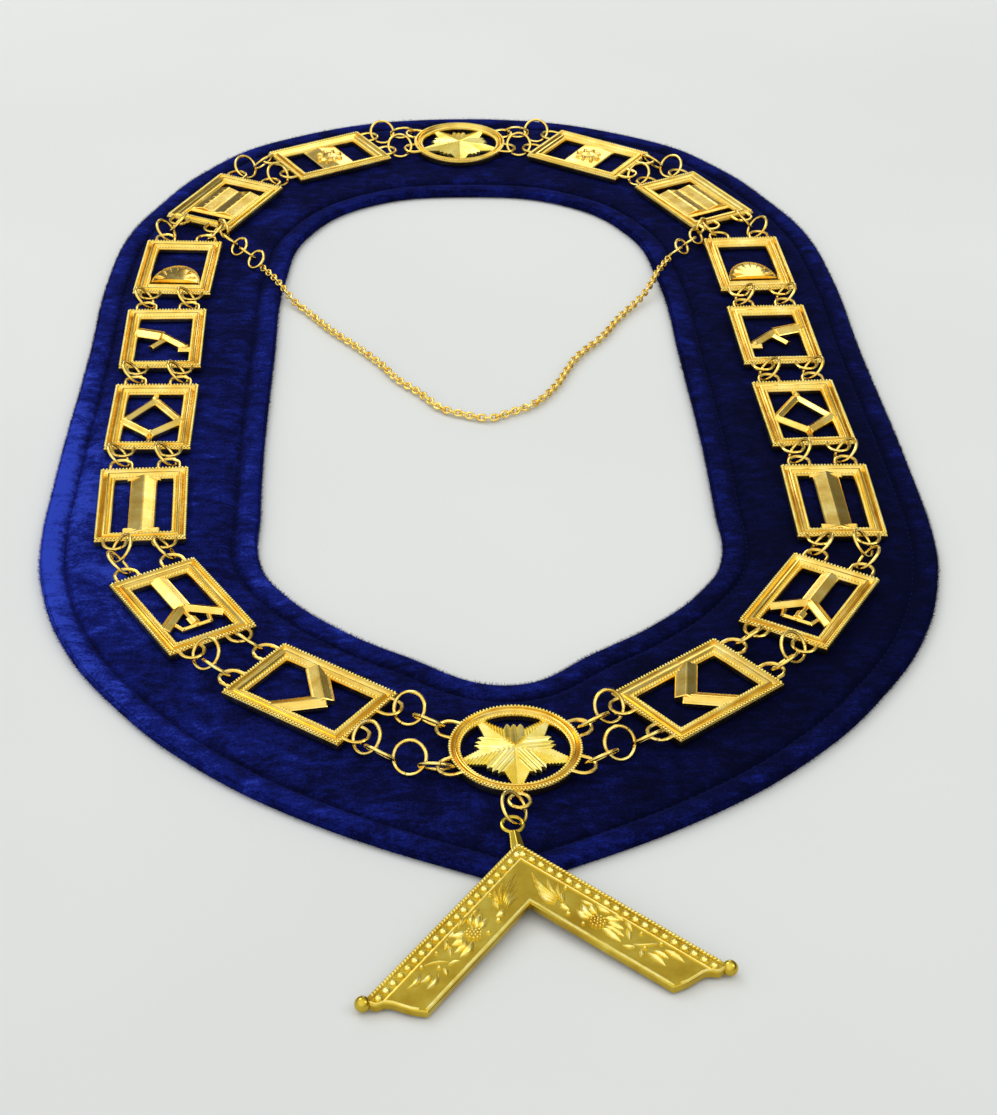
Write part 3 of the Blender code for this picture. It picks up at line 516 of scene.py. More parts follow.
def inwardWays(line, outside):
    # across the edge at each station, into the velvet
    ahead = np.roll(line, -1, axis=0) - np.roll(line, 1, axis=0)
    ahead /= np.linalg.norm(ahead, axis=1)[:, None]
    ways = np.column_stack([ahead[:, 1], -ahead[:, 0]])
    if outside:
        # easing to the middle line near the sharp tip, so that rows never cross
        tip = len(line) // 2
        share = np.exp(-(np.linalg.norm(line - line[tip], axis=1) / collarSizes["tipEase"]) ** 2)[:, None]
        middle = np.array([0.0, 1.0])
        ways[tip] = ways[tip - 1] + ways[tip + 1]
        ways[tip] /= ways[tip] @ ways[tip - 1]
        atTip = ways[tip].copy()
        lined = middle[None, :] / np.maximum(ways @ middle, 0.3)[:, None]
        ways = ways * (1 - share) + lined * share
        ways[tip] = atTip
    towardsMiddle = (line.mean(0) - line[0]) @ ways[0] > 0
    return ways if towardsMiddle == outside else -ways


def laidOut(flat, heights):
    heights = np.broadcast_to(heights, (len(flat),))
    return [Vector((x, y + collarSizes["tipY"], z)) for (x, y), z in zip(flat, heights)]


def buildVelvet():
    sizes = collarSizes
    outer = bezierLoop(collarOutline, sizes["halfWidth"], True)
    inner = bezierLoop(openingOutline, sizes["openingHalfWidth"], False)
    edges = (outer, inwardWays(outer, True)), (inner, inwardWays(inner, False))
    rows, farRows = ([(line + ways * d, z) for d, z in hemProfile] for line, ways in edges)
    start, end = rows[-1][0], farRows[-1][0]
    count = sizes["middleRows"]
    for t in np.arange(1, count + 1) / (count + 1):
        rows.append((start * (1 - t) + end * t, sizes["bandHeight"] + sizes["crown"] * math.sin(math.pi * t)))
    rows += farRows[::-1]
    rng = np.random.default_rng(sizes["napSeed"])
    waves = rng.uniform(-1, 1, (sizes["napWaves"], 2)) * sizes["napTurn"]
    phases = rng.uniform(0, 6.28, sizes["napWaves"])
    loops = []
    for flat, z in rows:
        ripple = sum(np.sin(flat @ w + p) for w, p in zip(waves, phases)) / len(waves)
        lifted = z + (ripple * sizes["napDepth"] if z > sizes["napFrom"] else 0)
        loops.append(laidOut(flat, np.minimum(lifted, sizes["top"])))
    bm = bmesh.new()
    made = addLoops(bm, loops)
    first, last = made[0], made[-1]
    for i in range(len(first)):
        bm.faces.new((first[i], first[i - 1], last[i - 1], last[i]))
    collar = finishPiece("velvetCollar", bm, velvet, 60, ["velvet_collar"])
    # painted light for each row: a painted highlight over the rolled edges, painted shade in the stitch lines,
    # none in the middle
    paintedRowLight = [*hemPaintedLight] + [0.0] * count + [*hemPaintedLight][::-1]
    lift = collar.data.attributes.new("hemPaintedLight", "FLOAT", "POINT")
    lift.data.foreach_set("value", np.repeat(paintedRowLight, sizes["stations"]))
    lines = Lines()
    for line, ways in edges:
        lines.add(laidOut(line + ways * sizes["stitchInset"], sizes["stitchHeight"]), closed=True)
    growRow("hemStitches", lines, sizes["stitchPitch"], sizes["stitchSize"], thread)
    fringe = Lines()
    insets, heights = zip(*hemProfile[2:6])
    for high in sizes["fringeHeights"]:
        inset = np.interp(high, heights, insets)
        for line, ways in edges:
            fringe.add(laidOut(line + ways * (inset + sizes["fringeInset"]), high), closed=True)
            fringe.facings += [(-x, -y, sizes["fringeLift"] * high) for x, y in ways]
    grow("edgePileFringe", fringeTree, fringe, {
        "Pitch": sizes["fringePitch"] * mm, "Tuft Length": sizes["fringeLength"] * mm,
        "Thickness": sizes["fringeThickness"] * mm,
    }, velvet)
    return collar


collar = buildVelvet()
print("velvet collar done")


# link plates
plateSizes = {
    "length": 38.0, "width": 26.1, "border": 4.7, "height": 2.6, "base": 3.8,
    "loopWire": 1.1, "loopHalfWidth": 3.2, "loopReach": 4.7, "loopOffset": 7.0, "loopRise": 2.0,
    "loopRoot": 0.6, "figureFoot": 0.2,
    "rimPitch": 0.95, "millSize": (0.80, 1.00, 0.86), "rowSize": (0.80, 0.92, 0.90), "cornerGap": 0.45,
}
# each row of beads: how far in from the outer edge and how high, as shares of the border and height
rimRows = (("mill", 0.11, 0.86), ("row", 0.85, 0.62))
rims = {"mill": Lines(), "row": Lines()}
# across the border from the outer edge and height, as shares: rim, cove, raised band, slope, inner rim
frameProfile = (
    (0.040, 0.00), (0.000, 0.30), (0.000, 0.52), (0.018, 0.68), (0.055, 0.80), (0.100, 0.85), (0.145, 0.82),
    (0.175, 0.74), (0.190, 0.90), (0.215, 0.99), (0.245, 0.98), (0.280, 0.84), (0.340, 0.68), (0.430, 0.60),
    (0.470, 0.61), (0.490, 0.80), (0.520, 0.90), (0.580, 0.93), (0.640, 0.90), (0.680, 0.80), (0.720, 0.66),
    (0.770, 0.58), (0.820, 0.66), (0.880, 0.68), (0.940, 0.64), (0.985, 0.50), (1.000, 0.36), (1.000, 0.00),
)
openX = plateSizes["width"] / 2 - plateSizes["border"]
openY = plateSizes["length"] / 2 - plateSizes["border"]
# ends as shares of the opening's half sizes, width as a share of its half width, ridge height as a share
figureBars = {
    "chevron": (
        (1.20, 0.36, -0.06, -0.34, 0.62, 0.85), (-1.20, 0.40, 0.06, -0.34, 0.70, 1.00),
    ),
    "branch": (
        (0.00, 1.05, 0.00, -0.04, 0.62, 0.90), (0.00, 0.03, 1.08, -0.52, 0.42, 0.80),
        (0.00, 0.03, -1.08, -0.52, 0.42, 0.80), (-0.50, -0.62, 0.50, -0.62, 0.16, 0.50),
        (0.00, -0.10, 0.00, -0.66, 0.16, 0.50), (0.00, -0.36, 0.00, -0.58, 0.34, 0.70),
        (-0.62, -0.36, -0.48, -0.66, 0.16, 0.50), (0.62, -0.36, 0.48, -0.66, 0.16, 0.50),
    ),
    "column": (
        (0.00, -1.05, 0.00, 1.05, 0.92, 0.98), (-0.62, -0.90, 0.62, -0.90, 0.34, 0.74),
    ),
    "lozenge": (
        (0.00, 0.74, 0.98, -0.08, 0.34, 0.80), (0.00, 0.74, -0.98, -0.08, 0.34, 0.80),
        (0.00, -0.68, 1.06, -0.12, 0.40, 0.95), (0.00, -0.68, -1.06, -0.12, 0.40, 0.95),
        (0.00, 0.52, 0.00, 1.06, 0.20, 0.60), (0.00, -0.58, 0.00, -1.06, 0.20, 0.60),
    ),
    "trowel": (
        (1.10, 0.36, 0.08, 0.16, 0.66, 0.95), (0.10, 0.22, -0.86, -0.34, 0.38, 0.80),
        (-0.60, -0.42, -1.10, -0.42, 0.36, 0.70), (0.00, 0.02, 0.46, -0.34, 0.26, 0.70),
    ),
    "dome": (
        (-1.06, -0.88, 1.06, -0.88, 0.40, 0.70),
    ),
    "book": (
        (-0.52, -0.62, -0.52, 0.70, 1.08, 0.95), (0.52, -0.62, 0.52, 0.70, 1.08, 0.95),
    ),
    "rosette": (
        (-1.06, 0.00, 1.06, 0.00, 1.52, 0.62),
    ),
}


def addBar(bm, start, end, width, ridge, endWidth=None):
    # a bar with a roof shaped top and small rounded shoulders
    along = (end - start).normalized()
    aside = leftOf(along)
    section = (
        (-0.5, 0.0), (-0.5, 0.50), (-0.46, 0.60), (-0.38, 0.66), (-0.05, 0.98), (0.0, 1.0),
        (0.05, 0.98), (0.38, 0.66), (0.46, 0.60), (0.5, 0.50), (0.5, 0.0),
    )
    loops = []
    for spot, wide, inset, high in (
        (start, width, 0, 0.9), (start, width, 0.25, 1), (end, endWidth, -0.25, 1), (end, endWidth, 0, 0.9),
    ):
        spot = spot + along * inset
        loops.append([spot + aside * (x * (wide or width)) + upBy(z * ridge * high) for x, z in section])
    addLoops(bm, loops, smooth=False, caps=True)


def addMound(bm, centre, radiusX, radiusY, height, turn=0.0, around=14, share=1.0):
    # a low rounded drop on a full or part ellipse
    spin = Matrix.Rotation(turn, 3, "Z")
    turns = [2 * math.pi * share * i / around for i in range(around + (share != 1.0))]
    loops = []
    for part, up in ((1.0, 0.0), (0.98, 0.35), (0.85, 0.68), (0.6, 0.90), (0.3, 0.98)):
        loop = [spin @ Vector((radiusX * math.cos(a), radiusY * math.sin(a), 0)) for a in turns]
        loops.append([centre + flat * part + upBy(up * height) for flat in loop])
    rows = addLoops(bm, loops)
    bm.faces.new(rows[0])
    peak = bm.verts.new(centre + upBy(height))
    for i in range(len(rows[-1])):
        bm.faces.new((rows[-1][i - 1], rows[-1][i], peak)).smooth = True


def onPlate(x, y, z=plateSizes["figureFoot"]):
    # a place as shares of the opening's half sizes
    return Vector((x * openX, y * openY, z))


def addFigure(bm, figure):
    high = plateSizes["height"]
    for x0, y0, x1, y1, width, ridge in figureBars[figure]:
        addBar(bm, onPlate(x0, y0), onPlate(x1, y1), width * openX, ridge * high - plateSizes["figureFoot"])
    if figure == "chevron":
        for k in range(9):  # graduations along one arm
            t = 0.10 + 0.085 * k
            spot = onPlate(-1.20 + 1.26 * t, 0.40 - 0.74 * t, 0) + Vector((0.9, -1.0, 0))
            addMound(bm, spot, 0.24, 0.95, 0.96 * high, turn=-0.7, around=6)
    if figure == "column":
        for y in (-0.97, 0.97):
            addBar(bm, onPlate(-0.58, y), onPlate(0.58, y), 1.3, 0.8 * high)
    if figure == "lozenge":
        for y, radius in ((0.74, 1.25), (-0.66, 1.1)):
            addMound(bm, onPlate(0, y), radius, radius, 0.95 * high)
    if figure == "trowel":
        addMound(bm, onPlate(-0.86, -0.40), 1.3, 1.0, 0.85 * high)
    if figure == "dome":
        centre = onPlate(0, -0.72)
        addMound(bm, centre, 1.0 * openX, 1.62 * openX, 0.9 * high, around=24, share=0.5)
        for k in range(7):  # rays raised on the half round
            a = math.pi * (k + 0.5) / 7
            spot = Vector((0.62 * math.cos(a), math.sin(a), 0)) * openX
            addMound(bm, centre + spot, 2.5, 0.42, 1.02 * high, turn=math.atan2(spot.y, spot.x), around=8)
    if figure == "book":
        for side in (-1, 1):
            for k in range(5):  # lines of the open pages
                addMound(bm, onPlate(side * 0.54, -0.40 + 0.22 * k, 0), 1.7, 0.24, high, around=6)
        addBar(bm, onPlate(-1.02, -0.68), onPlate(1.02, -0.68), 1.2, 0.6 * high)
    if figure == "rosette":
        addMound(bm, onPlate(0, 0), 0.55 * openX, 0.55 * openX, 0.80 * high, around=20)
        for a in turnSteps(8):
            addMound(bm, roundWay(a) * 0.42 * openX, 1.7, 0.85, 0.98 * high, turn=a, around=8)
        addMound(bm, onPlate(0, 0), 1.0, 1.0, 1.02 * high, around=10)


def addLoop(bm, foot, way, reach):
    # a wire loop standing out from the edge of a link
    half = plateSizes["loopHalfWidth"]
    aside = leftOf(way) * half
    bend = [math.pi * i / 12 for i in range(13)]
    root = foot - way * plateSizes["loopRoot"]
    line = [root - aside]
    line += [foot + way * (reach - half + half * math.sin(a)) - aside * math.cos(a) for a in bend]
    line.append(root + aside)
    addTube(bm, [p + upBy(plateSizes["loopRise"]) for p in line], plateSizes["loopWire"] / 2, 9)


def packedPoints(name):
    return np.unique(np.array([v.co[:] for v in nodes[name].data.vertices]).round(6), axis=0) / mm


def platePlace(name):
    # the middle and the length direction of a packed plate, from the corners of its foot
    low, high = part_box(name)
    centre = (low + high) / (2 * mm)
    points = packedPoints(name)
    foot = np.unique(points[points[:, 2] < plateSizes["base"] + 0.05][:, :2], axis=0)
    away = np.linalg.norm(foot - [centre.x, centre.y], axis=1)
    corners = foot[away > away.max() * 0.97]
    ways = np.linalg.eigh(np.cov((corners - corners.mean(0)).T))[1]
    x, y = ways[:, 1] * (1 if ways[1, 1] > 0 else -1)
    middle = (corners.max(0) + corners.min(0)) / 2
    return Matrix(((y, x, 0, middle[0]), (-x, y, 0, middle[1]), (0, 0, 1, plateSizes["base"]), (0, 0, 0, 1)))


def rectangle(inset, height):
    x, y = plateSizes["width"] / 2 - inset, plateSizes["length"] / 2 - inset
    return [Vector((a, b, height * plateSizes["height"])) for a, b in ((-x, -y), (x, -y), (x, y), (-x, y))]


def buildPlate(name):
    sizes = plateSizes
    side = 1 if name.startswith("right") else -1
    figure = name.split("_")[-1]
    place = platePlace(name)
    bm = bmesh.new()
    addLoops(bm, [rectangle(across * sizes["border"], up) for across, up in frameProfile], along=True)
    addFigure(bm, figure)
    for end in (-1, 1):
        for spot in (-1, 1):
            foot = Vector((spot * sizes["loopOffset"], end * sizes["length"] / 2, 0))
            addLoop(bm, foot, Vector((0, end, 0)), sizes["loopReach"])
    bm.transform(place @ Matrix.Diagonal((side, 1, 1, 1)))
    number = name.replace("_plate_", "Plate").replace("_" + figure, figure.capitalize())
    finishPiece(number, bm, gilt, 32, [name])
    for row, share, up in rimRows:
        corners = rectangle(share * sizes["border"], up)
        for a, b in zip(corners, corners[1:] + corners[:1]):
            step = (b - a).normalized() * sizes["cornerGap"]
            rims[row].add([place @ (a + step), place @ (b - step)])


plateNames = sorted(n for n in nodes if "_plate_" in n)
for name in plateNames:
    buildPlate(name)
print("link plates done:", len(plateNames))


# disc links
discSizes = {
    "outer": 34.0, "border": 3.3, "height": 2.6, "base": 3.8, "segments": 96,
    "rayReach": 17.0, "rayEnd": 0.84, "waist": 7.0, "ribPitch": 0.86, "ribHeight": 0.46,
    "shortRay": 10.6, "shortHalfWidth": 2.5,
    "middleHeight": 0.95, "tipHeight": 0.40, "waistHeight": 0.42, "shortHeight": 0.36,
    "loopReach": 4.4, "dropReach": 6.6, "dropRing": 6.3, "neckWidth": 2.4, "neckHeight": 1.7,
}


def addBlades(bm, sections):
    # a closed ribbed slab: each section is its near and far top points, over the same two at the foot
    loops = []
    foot = plateSizes["figureFoot"]
    for near, far in sections:
        loops.append([near, far, Vector((far.x, far.y, foot)), Vector((near.x, near.y, foot))])
    addLoops(bm, loops, caps=True)


def addStar(bm):
    # five broad rays ribbed in lines beside their valleys, and five short toothed rays lying in the valleys
    sizes = discSizes
    high = sizes["height"]
    centre = upBy(sizes["middleHeight"] * high)
    drop = sizes["middleHeight"] - sizes["waistHeight"]
    for i in range(5):
        a = math.radians(-90 + 72 * i)
        valleys = a - math.radians(36), a + math.radians(36)
        tip = roundWay(a) * sizes["rayReach"] + upBy(sizes["tipHeight"] * high)
        for b in valleys:
            waist = roundWay(b) * sizes["waist"] + upBy(sizes["waistHeight"] * high)
            count = 2 * round((tip - waist).length * sizes["rayEnd"] / sizes["ribPitch"])
            sections = []
            for k in range(count + 1):
                w = sizes["rayEnd"] * k / count
                lift = upBy(sizes["ribHeight"] * (0.5 if k % 2 else -0.5))
                sections.append((centre.lerp(tip, w) + lift, waist.lerp(tip, w) + lift))
            addBlades(bm, sections)
        way = roundWay(valleys[1])
        sections = []
        for k in range(13):
            u = sizes["shortHalfWidth"] * (k / 6 - 1)
            aside = leftOf(way) * u
            near = 0.8 + 1.5 * abs(u)
            far = sizes["shortRay"] * (1.0 - 0.07 * abs(k % 4 - 2)) - 0.12 * abs(u)
            lift = 0.18 + 0.13 * abs(u) + (0.14 if k % 2 else -0.06)
            nearUp = sizes["middleHeight"] - drop * near / sizes["waist"]
            aside += upBy(lift)
            farUp = sizes["shortHeight"]
            sections.append((way * near + aside + upBy(nearUp * high), way * far + aside + upBy(farUp * high)))
        addBlades(bm, sections)


def circlePoints(share, up):
    radius = discSizes["outer"] / 2 - share * discSizes["border"]
    return [roundWay(a) * radius + upBy(up * discSizes["height"]) for a in turnSteps(discSizes["segments"])]


def buildDisc(name, loopAngles, dropLoop):
    sizes = discSizes
    wire = plateSizes["loopWire"]
    low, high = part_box(name)
    radius = sizes["outer"] / 2
    middle = Vector(((low.x + high.x) / 2, high.y, 0)) / mm + Vector((0, -radius, sizes["base"]))
    bm = bmesh.new()
    addLoops(bm, [circlePoints(share, up) for share, up in frameProfile], along=True)
    for angle in loopAngles:
        way = roundWay(math.radians(angle))
        addLoop(bm, way * radius, way, sizes["loopReach"])
    if dropLoop:
        bow = (sizes["dropRing"] - wire) / 2
        hub = Vector((0, bow - radius - sizes["dropReach"], plateSizes["loopRise"]))
        addRing(bm, hub, bow, wire)
        neck = Vector((0, 0.4 - radius, 0.6)), Vector((0, hub.y + bow, 0.6))
        addBar(bm, *neck, sizes["neckWidth"], sizes["neckHeight"])
    bm.transform(Matrix.Translation(middle))
    finishPiece(name.replace("_disc", "Disc"), bm, gilt, 32, [name])
    star = bmesh.new()
    addStar(star)
    star.transform(Matrix.Translation(middle))
    finishPiece(name.replace("_disc", "Star"), star, highlightGilt, 12)
    for row, share, up in rimRows:
        rims[row].add([middle + point for point in circlePoints(share, up)], closed=True)


buildDisc("front_disc", (24.5, 155.5, 204.5, -24.5), True)
buildDisc("far_disc", (24.5, 155.5, 198.0, -18.0), False)
growRow("milledRims", rims["mill"], plateSizes["rimPitch"], plateSizes["millSize"], highlightGilt)
growRow("beadedRims", rims["row"], plateSizes["rimPitch"], plateSizes["rowSize"], highlightGilt)
print("discs and beaded rims done")


# jump rings
ringSizes = {"radius": 4.3, "wire": 1.0, "cut": 0.05}
# how a packed run is read: its points for each ring, and the turns and fewest points of the fit
fitSizes = {"ringPoints": 59, "turns": 30, "fewest": 8, "settled": 5}


def fitRings(name):
    # middle, facing and radius of each round ring of a packed run
    points = packedPoints(name)
    count = max(1, round(len(points) / fitSizes["ringPoints"]))
    middle = points.mean(0)
    axis = np.linalg.svd(points - middle, full_matrices=False)[2][0]
    span = (points - middle) @ axis
    length = span.max() - span.min()
    # jump rings are all alike, and the rings at the chain's ends are sized from how long their run is
    radius = length / (2 * count - 1) / 2 * 1.05 if "chain_end" in name else ringSizes["radius"]
    reach = length / 2 - radius
    along = [0.0] if count == 1 else np.linspace(-reach, reach, count) + (span.max() + span.min()) / 2
    centres = np.array([middle + axis * a for a in along])
    nearest = np.linalg.norm(points[:, None] - centres[None], axis=2).argmin(1)
    facings = np.zeros((count, 3))
    for turn in range(fitSizes["turns"]):
        for i in range(count):
            own = points[nearest == i]
            if len(own) > fitSizes["fewest"]:
                facings[i] = np.linalg.svd(own - own.mean(0), full_matrices=False)[2][2]
        away = points[:, None] - centres[None]
        off = (away * facings[None]).sum(2)
        flat = away - off[..., None] * facings[None]
        reached = np.linalg.norm(flat, axis=2)
        nearest = np.sqrt((reached - radius) ** 2 + off ** 2).argmin(1)
        sizes = []
        for i in range(count):
            pick = nearest == i
            onRing = flat[pick, i] / reached[pick, i][:, None] * radius
            centres[i] += (away[pick, i] - onRing).mean(0)
            sizes.append(reached[pick, i].mean())
        if turn > fitSizes["settled"]:
            radius = float(np.mean(sizes))
    return centres, facings, radius


def buildRings(name, wanted):
    rings = Lines()
    radii = []
    for node in wanted:
        centres, facings, radius = fitRings(node)
        rings.points += [Vector(c) for c in centres]
        rings.facings += [tuple(f) for f in facings]
        radii.append(radius)
    print(name, len(rings.points), "rings of radius", round(min(radii), 2), "to", round(max(radii), 2), "mm")
    grow(name, ringTree, rings, {
        "Ring Radius": float(np.mean(radii)) * mm, "Wire": ringSizes["wire"] * mm, "Cut": ringSizes["cut"],
    }, brightGilt, wanted)


for side in ("left", "right"):
    buildRings(side + "JumpRings", sorted(n for n in nodes if n.startswith(side + "_rings")))
    buildRings(side + "ChainEndRings", [side + "_chain_end"])
buildRings("jewelJumpRing", ["jewel_ring"])
print("jump rings done")


# chain across the opening: across and along, in mm from the start, and height above what it lies on
chainSizes = {
    "start": (-1.5, -130.774), "diameter": 2.5, "rest": 0.15, "steps": 8,
    "pitch": 1.95, "linkLength": 3.5, "linkWidth": 2.65, "wire": 0.74,
}
chainRoute = (
    (-69.8, 243.0, 3.2), (-66.0, 236.4, 3.2), (-62.6, 229.6, 2.7), (-58.6, 223.0, 0.9), (-54.3, 217.8, 0.0),
    (-46.5, 205.2, 0.0), (-38.0, 193.9, 0.0), (-30.0, 182.2, 0.0), (-24.6, 172.2, 0.0), (-17.6, 163.4, 0.0),
    (-11.6, 154.6, 0.0), (-5.4, 150.6, 0.0), (3.4, 147.6, 0.0), (10.0, 150.6, 0.0), (18.6, 156.4, 0.0),
    (25.8, 167.2, 0.0), (33.6, 185.2, 0.0), (42.8, 198.6, 0.0), (49.6, 211.6, 0.0), (57.4, 223.4, 0.6),
    (61.8, 230.6, 2.4), (65.4, 239.4, 3.2), (69.6, 248.0, 3.2),
)


def buildChain():
    sizes = chainSizes
    start = Vector((*sizes["start"], sizes["diameter"] / 2 + sizes["rest"]))
    knots = [Vector(spot) + start for spot in chainRoute]
    knots = [knots[0], *knots, knots[-1]]
    line = []
    for before, a, b, after in zip(knots, knots[1:], knots[2:], knots[3:]):
        for k in range(sizes["steps"]):
            t = k / sizes["steps"]
            line.append(0.5 * (
                2 * a + (b - before) * t + (2 * before - 5 * a + 4 * b - after) * t * t
                + (3 * a - before - 3 * b + after) * t ** 3
            ))
    lines = Lines()
    lines.add([*line, knots[-1]])
    grow("crossChainLinks", chainTree, lines, {
        "Pitch": sizes["pitch"] * mm, "Link Length": sizes["linkLength"] * mm,
        "Link Width": sizes["linkWidth"] * mm, "Wire": sizes["wire"] * mm,
    }, brightGilt, ["cross_chain"])


buildChain()
print("cross chain done")


# square jewel
jewelSizes = {
    "apex": (0.9, -188.074, 3.985), "turn": 6.3, "slope": -3.868, "angle": 86.0,
    "arm": 61.5, "armInner": 55.4, "width": 13.6, "thick": 2.2, "ball": 3.8,
    "bailOuter": 6.3, "bailWire": 1.1, "bailDistance": 6.9,
    "neckFoot": 1.9, "neckWidth": 3.7, "neckTopWidth": 2.6, "neckHeight": 2.0,
    "ropePitch": 0.95, "ropeSize": (1.25, 0.64, 0.95), "pearlPitch": 2.75, "pearlSize": (2.15, 2.0, 1.7),
    "fillet": 3.5, "filletEnd": 0.955, "innerEdge": 12.6, "innerEnd": 0.895, "outerEdge": 0.12, "outerEnd": 0.985,
    "endInset": 0.55, "endWire": 0.68, "seedSize": 0.36, "rootDepth": 0.03,
}
# inset from the outline and height, in mm: bevelled edge and field
jewelProfile = (
    (0.00, 0.00), (0.00, 1.55), (0.12, 1.72), (0.35, 1.80),
)
# root along and across the arm, tip along and across, width and height of each leaf and petal, in mm
leafTable = (
    (18.4, 8.5, 8.8, 5.6, 1.05, 0.95), (18.6, 9.0, 10.4, 7.0, 1.05, 0.90), (18.8, 9.5, 12.0, 8.4, 1.05, 0.90),
    (19.0, 10.2, 13.9, 9.8, 1.05, 0.85), (18.6, 8.2, 12.6, 4.6, 1.05, 0.85), (19.2, 8.0, 15.6, 4.3, 1.10, 0.85),
    (20.4, 8.6, 18.0, 5.6, 1.45, 0.85), (20.2, 9.8, 22.9, 9.6, 1.80, 0.90),
    (28.6, 8.0, 23.9, 6.3, 2.30, 1.05), (28.2, 9.0, 24.2, 8.4, 1.70, 0.90), (28.8, 6.8, 25.2, 4.6, 1.90, 0.95),
    (26.0, 4.9, 23.0, 5.2, 1.00, 0.70), (31.0, 6.5, 33.9, 4.9, 1.90, 0.90), (32.4, 7.2, 36.2, 6.4, 2.10, 0.95),
    (32.4, 9.6, 38.0, 10.0, 2.30, 1.05), (32.6, 8.5, 37.6, 8.2, 1.80, 0.95), (30.8, 4.5, 26.8, 4.2, 1.50, 0.85),
    (32.2, 4.4, 34.6, 4.3, 1.30, 0.80), (35.2, 4.4, 38.2, 5.8, 1.40, 0.85), (36.8, 6.0, 39.2, 8.2, 1.40, 0.85),
    (44.8, 5.0, 40.6, 8.8, 0.65, 0.60), (47.4, 5.8, 52.9, 5.9, 1.60, 0.95), (45.6, 7.6, 49.4, 7.2, 1.35, 0.85),
    (45.0, 9.0, 50.2, 9.5, 1.70, 0.95), (43.0, 8.9, 44.2, 10.8, 1.30, 0.80), (41.4, 9.2, 38.9, 10.6, 1.10, 0.70),
)
# the middle of the flower along and across the arm, and how far out each ring of seeds is and its count
flowerSpot = (30.2, 8.4)
seedRings = ((0.0, 1), (0.82, 6), (1.62, 11))
# along and across the arm, and radius, in mm
budTable = (
    (18.0, 4.5, 0.45), (23.4, 10.6, 0.60), (28.0, 11.0, 0.50),
    (43.4, 8.0, 0.50), (45.6, 4.7, 0.45), (40.2, 5.0, 0.40),
)


def jewelPlace():
    turned = Matrix.Rotation(math.radians(jewelSizes["turn"]), 4, "Z")
    leaned = Matrix.Rotation(math.radians(-jewelSizes["slope"]), 4, "X")
    return Matrix.Translation(Vector(jewelSizes["apex"])) @ turned @ leaned


def armEdge(side):
    half = math.radians(jewelSizes["angle"] / 2)
    along = Vector((side * math.sin(half), -math.cos(half), 0))
    inward = Vector((-side * math.cos(half), -math.sin(half), 0))
    return along, inward


def armPoints(side):
    # the outer corner and the curved end of an arm
    along, inward = armEdge(side)
    fall = jewelSizes["arm"] - jewelSizes["armInner"]
    shares = (
        (0.0, 0.0), (0.04, 0.10), (0.10, 0.22), (0.22, 0.27), (0.36, 0.30), (0.46, 0.34), (0.55, 0.42),
        (0.60, 0.52), (0.66, 0.63), (0.72, 0.74), (0.84, 0.86), (1.0, 1.0),
    )
    return [along * (jewelSizes["arm"] - fall * cut) + inward * jewelSizes["width"] * w for cut, w in shares]


def insetPoints(points, inset):
    made = []
    for i, point in enumerate(points):
        before = leftOf(points[i - 1] - point).normalized()
        after = leftOf(point - points[(i + 1) % len(points)]).normalized()
        middle = (before + after).normalized()
        made.append(point + middle * inset / max(middle.dot(after), 0.35))
    return made


def addStrip(bm, side, farShare, across, section):
    # a moulded strip along an arm, mitred at the apex: across is the distance from its outer edge
    along, inward = armEdge(side)
    mitre = 1 / math.tan(math.radians(jewelSizes["angle"] / 2))
    near = [(along * mitre + inward) * (across + d) + upBy(z) for d, z in section]
    far = [along * (jewelSizes["arm"] * farShare) + inward * (across + d) + upBy(z) for d, z in section]
    addLoops(bm, [near, far], caps=True)


def addLeaf(bm, root, tip, width, height):
    # a pointed leaf with a raised midrib and a slight bend, closed underneath
    length = (tip - root).length
    way = (tip - root) / length
    aside = leftOf(way)
    section = ((-1.0, -0.3), (-0.95, 0.25), (-0.5, 0.78), (0.0, 1.0), (0.5, 0.78), (0.95, 0.25), (1.0, -0.3))
    loops = []
    for t, w in ((0.0, 0.12), (0.15, 0.60), (0.38, 1.0), (0.62, 0.90), (0.84, 0.52), (1.0, 0.04)):
        spot = root + way * (length * t) + aside * (0.08 * length * math.sin(math.pi * t))
        rise = height * (0.30 + 0.70 * math.sin(math.pi * min(t * 0.9 + 0.12, 1)))
        loops.append([spot + aside * (width * w / 2 * x) + upBy(rise * z) for x, z in section])
    addLoops(bm, loops, caps=True)


def addFlowers(bm, along, inward, base):
    for a, w, tipA, tipW, width, height in leafTable:
        addLeaf(bm, along * a + inward * w + base, along * tipA + inward * tipW + base, width, height)
    hub = along * flowerSpot[0] + inward * flowerSpot[1] + base
    seed = jewelSizes["seedSize"]
    for reach, count in seedRings:
        for t in turnSteps(count):
            spot = hub + (along * math.cos(t) + inward * math.sin(t)) * reach
            addMound(bm, spot, seed, seed, 1.05 - 0.15 * reach, around=6)
    for a, w, radius in budTable:
        addMound(bm, along * a + inward * w + base, radius, radius, 0.7, around=8)


